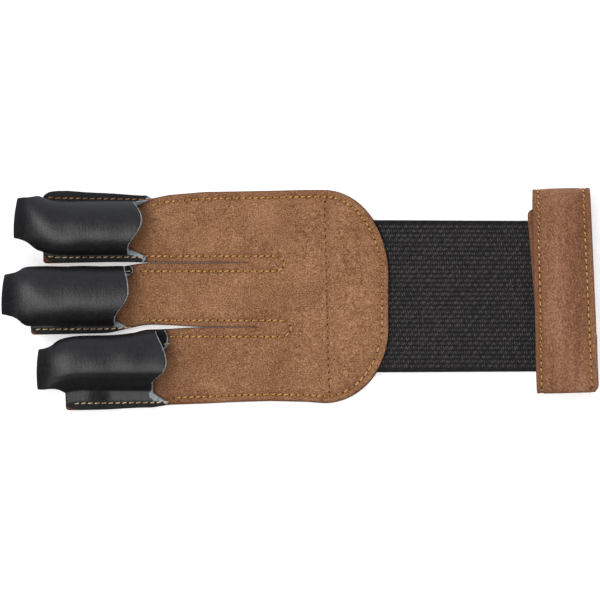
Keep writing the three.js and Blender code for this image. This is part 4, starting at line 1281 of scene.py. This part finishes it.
# Pale table and soft studio light, seen from straight above through a long lens
# The room is bright behind the index finger's side and dark on the other, for the gloss on the stalls
studio = {"cameraHeight": 4.0, "sensor": 36, "viewWidth": 0.2, "viewCentre": (0.0001, -0.0002),
          "viewLevel": 0.005, "tableReach": 2, "tableGlow": 0.45, "tableSpots": 60,
          "wallLight": 1.0,
          "tableTones": [(0.3, "#f6f6f5"), (0.7, "#fafafa")],
          "walls": [(0.0, "#3e3e41"), (0.5, "#4c4c4f"), (0.7, "#8c8e94"), (0.86, "#c8ccd6"),
                    (1.0, "#eef2fc")]}
tableReach = studio["tableReach"]
floorMesh = bpy.data.meshes.new("table")
tableCorners = [(x * tableReach, y * tableReach, 0) for x, y in ((-1, -1), (1, -1), (1, 1), (-1, 1))]
floorMesh.from_pydata(tableCorners, [], [(0, 1, 2, 3)])
table = bpy.data.objects.new("table", floorMesh)
scene.collection.objects.link(table)
tableFinish, tree = newFinish("table_opal_acrylic_backlit")
place = addNode(tree, "ShaderNodeTexCoord").outputs["Object"]
mottle = addNode(tree, "ShaderNodeTexNoise", {
    "Vector": place, "Scale": spots(studio["tableSpots"]), "Detail": 2}).outputs["Fac"]
tone = addNode(tree, "ShaderNodeValToRGB", {"Fac": mottle}, stops=studio["tableTones"]).outputs["Color"]
shader = addNode(tree, "ShaderNodeBsdfPrincipled", {
    "Base Color": tone, "Roughness": 0.8, "Specular IOR Level": 0.2, "Emission Color": linear("#ffffff"),
    "Emission Strength": studio["tableGlow"]})
addNode(tree, "ShaderNodeOutputMaterial", {"Surface": shader.outputs[0]})
floorMesh.materials.append(tableFinish)
table.visible_glossy = False  # a white table in the gloss would grey the sides of the black leather

world = bpy.data.worlds.new("studio_room")
scene.world = world
world.use_nodes = True
tree = world.node_tree
tree.nodes.clear()
direction = addNode(tree, "ShaderNodeTexCoord").outputs["Generated"]
sideways = addNode(tree, "ShaderNodeSeparateXYZ", {0: direction}).outputs["Y"]
across = addNode(tree, "ShaderNodeMapRange", {
    "Value": sideways, "From Min": -1.0, "From Max": 1.0}).outputs["Result"]
glow = addNode(tree, "ShaderNodeValToRGB", {"Fac": across}, stops=studio["walls"]).outputs["Color"]
background = addNode(tree, "ShaderNodeBackground", {"Color": glow, "Strength": studio["wallLight"]})
addNode(tree, "ShaderNodeOutputWorld", {"Surface": background.outputs[0]})


# A softbox of the given size and power, turned to face the glove
def softbox(name, place, size, power, inGloss):
    light = bpy.data.lights.new(name, "AREA")
    light.shape = "RECTANGLE"
    light.size = size[0]
    light.size_y = size[1]
    light.energy = power
    lamp = bpy.data.objects.new(name, light)
    lamp.location = place
    lamp.visible_glossy = inGloss
    lamp.rotation_euler = (-Vector(place)).to_track_quat("-Z", "Y").to_euler()
    scene.collection.objects.link(lamp)
    return lamp


softbox("gloss_softbox", place=(-0.75, -0.42, 2.25), size=(3.4, 0.8), power=50, inGloss=True)
softbox("key_softbox", place=(0.5, 1.3, 2.0), size=(1.8, 1.4), power=22, inGloss=False)

camera = bpy.data.cameras.new("overhead_camera")
camera.lens = studio["sensor"] * (studio["cameraHeight"] - studio["viewLevel"]) / studio["viewWidth"]
camera.sensor_width = studio["sensor"]
camera.clip_start = 0.1
camera.clip_end = 10
cameraObject = bpy.data.objects.new("overhead_camera", camera)
cameraObject.location = (*studio["viewCentre"], studio["cameraHeight"])
scene.collection.objects.link(cameraObject)
scene.camera = cameraObject
scene.view_settings.view_transform = "Standard"
print("studio made")
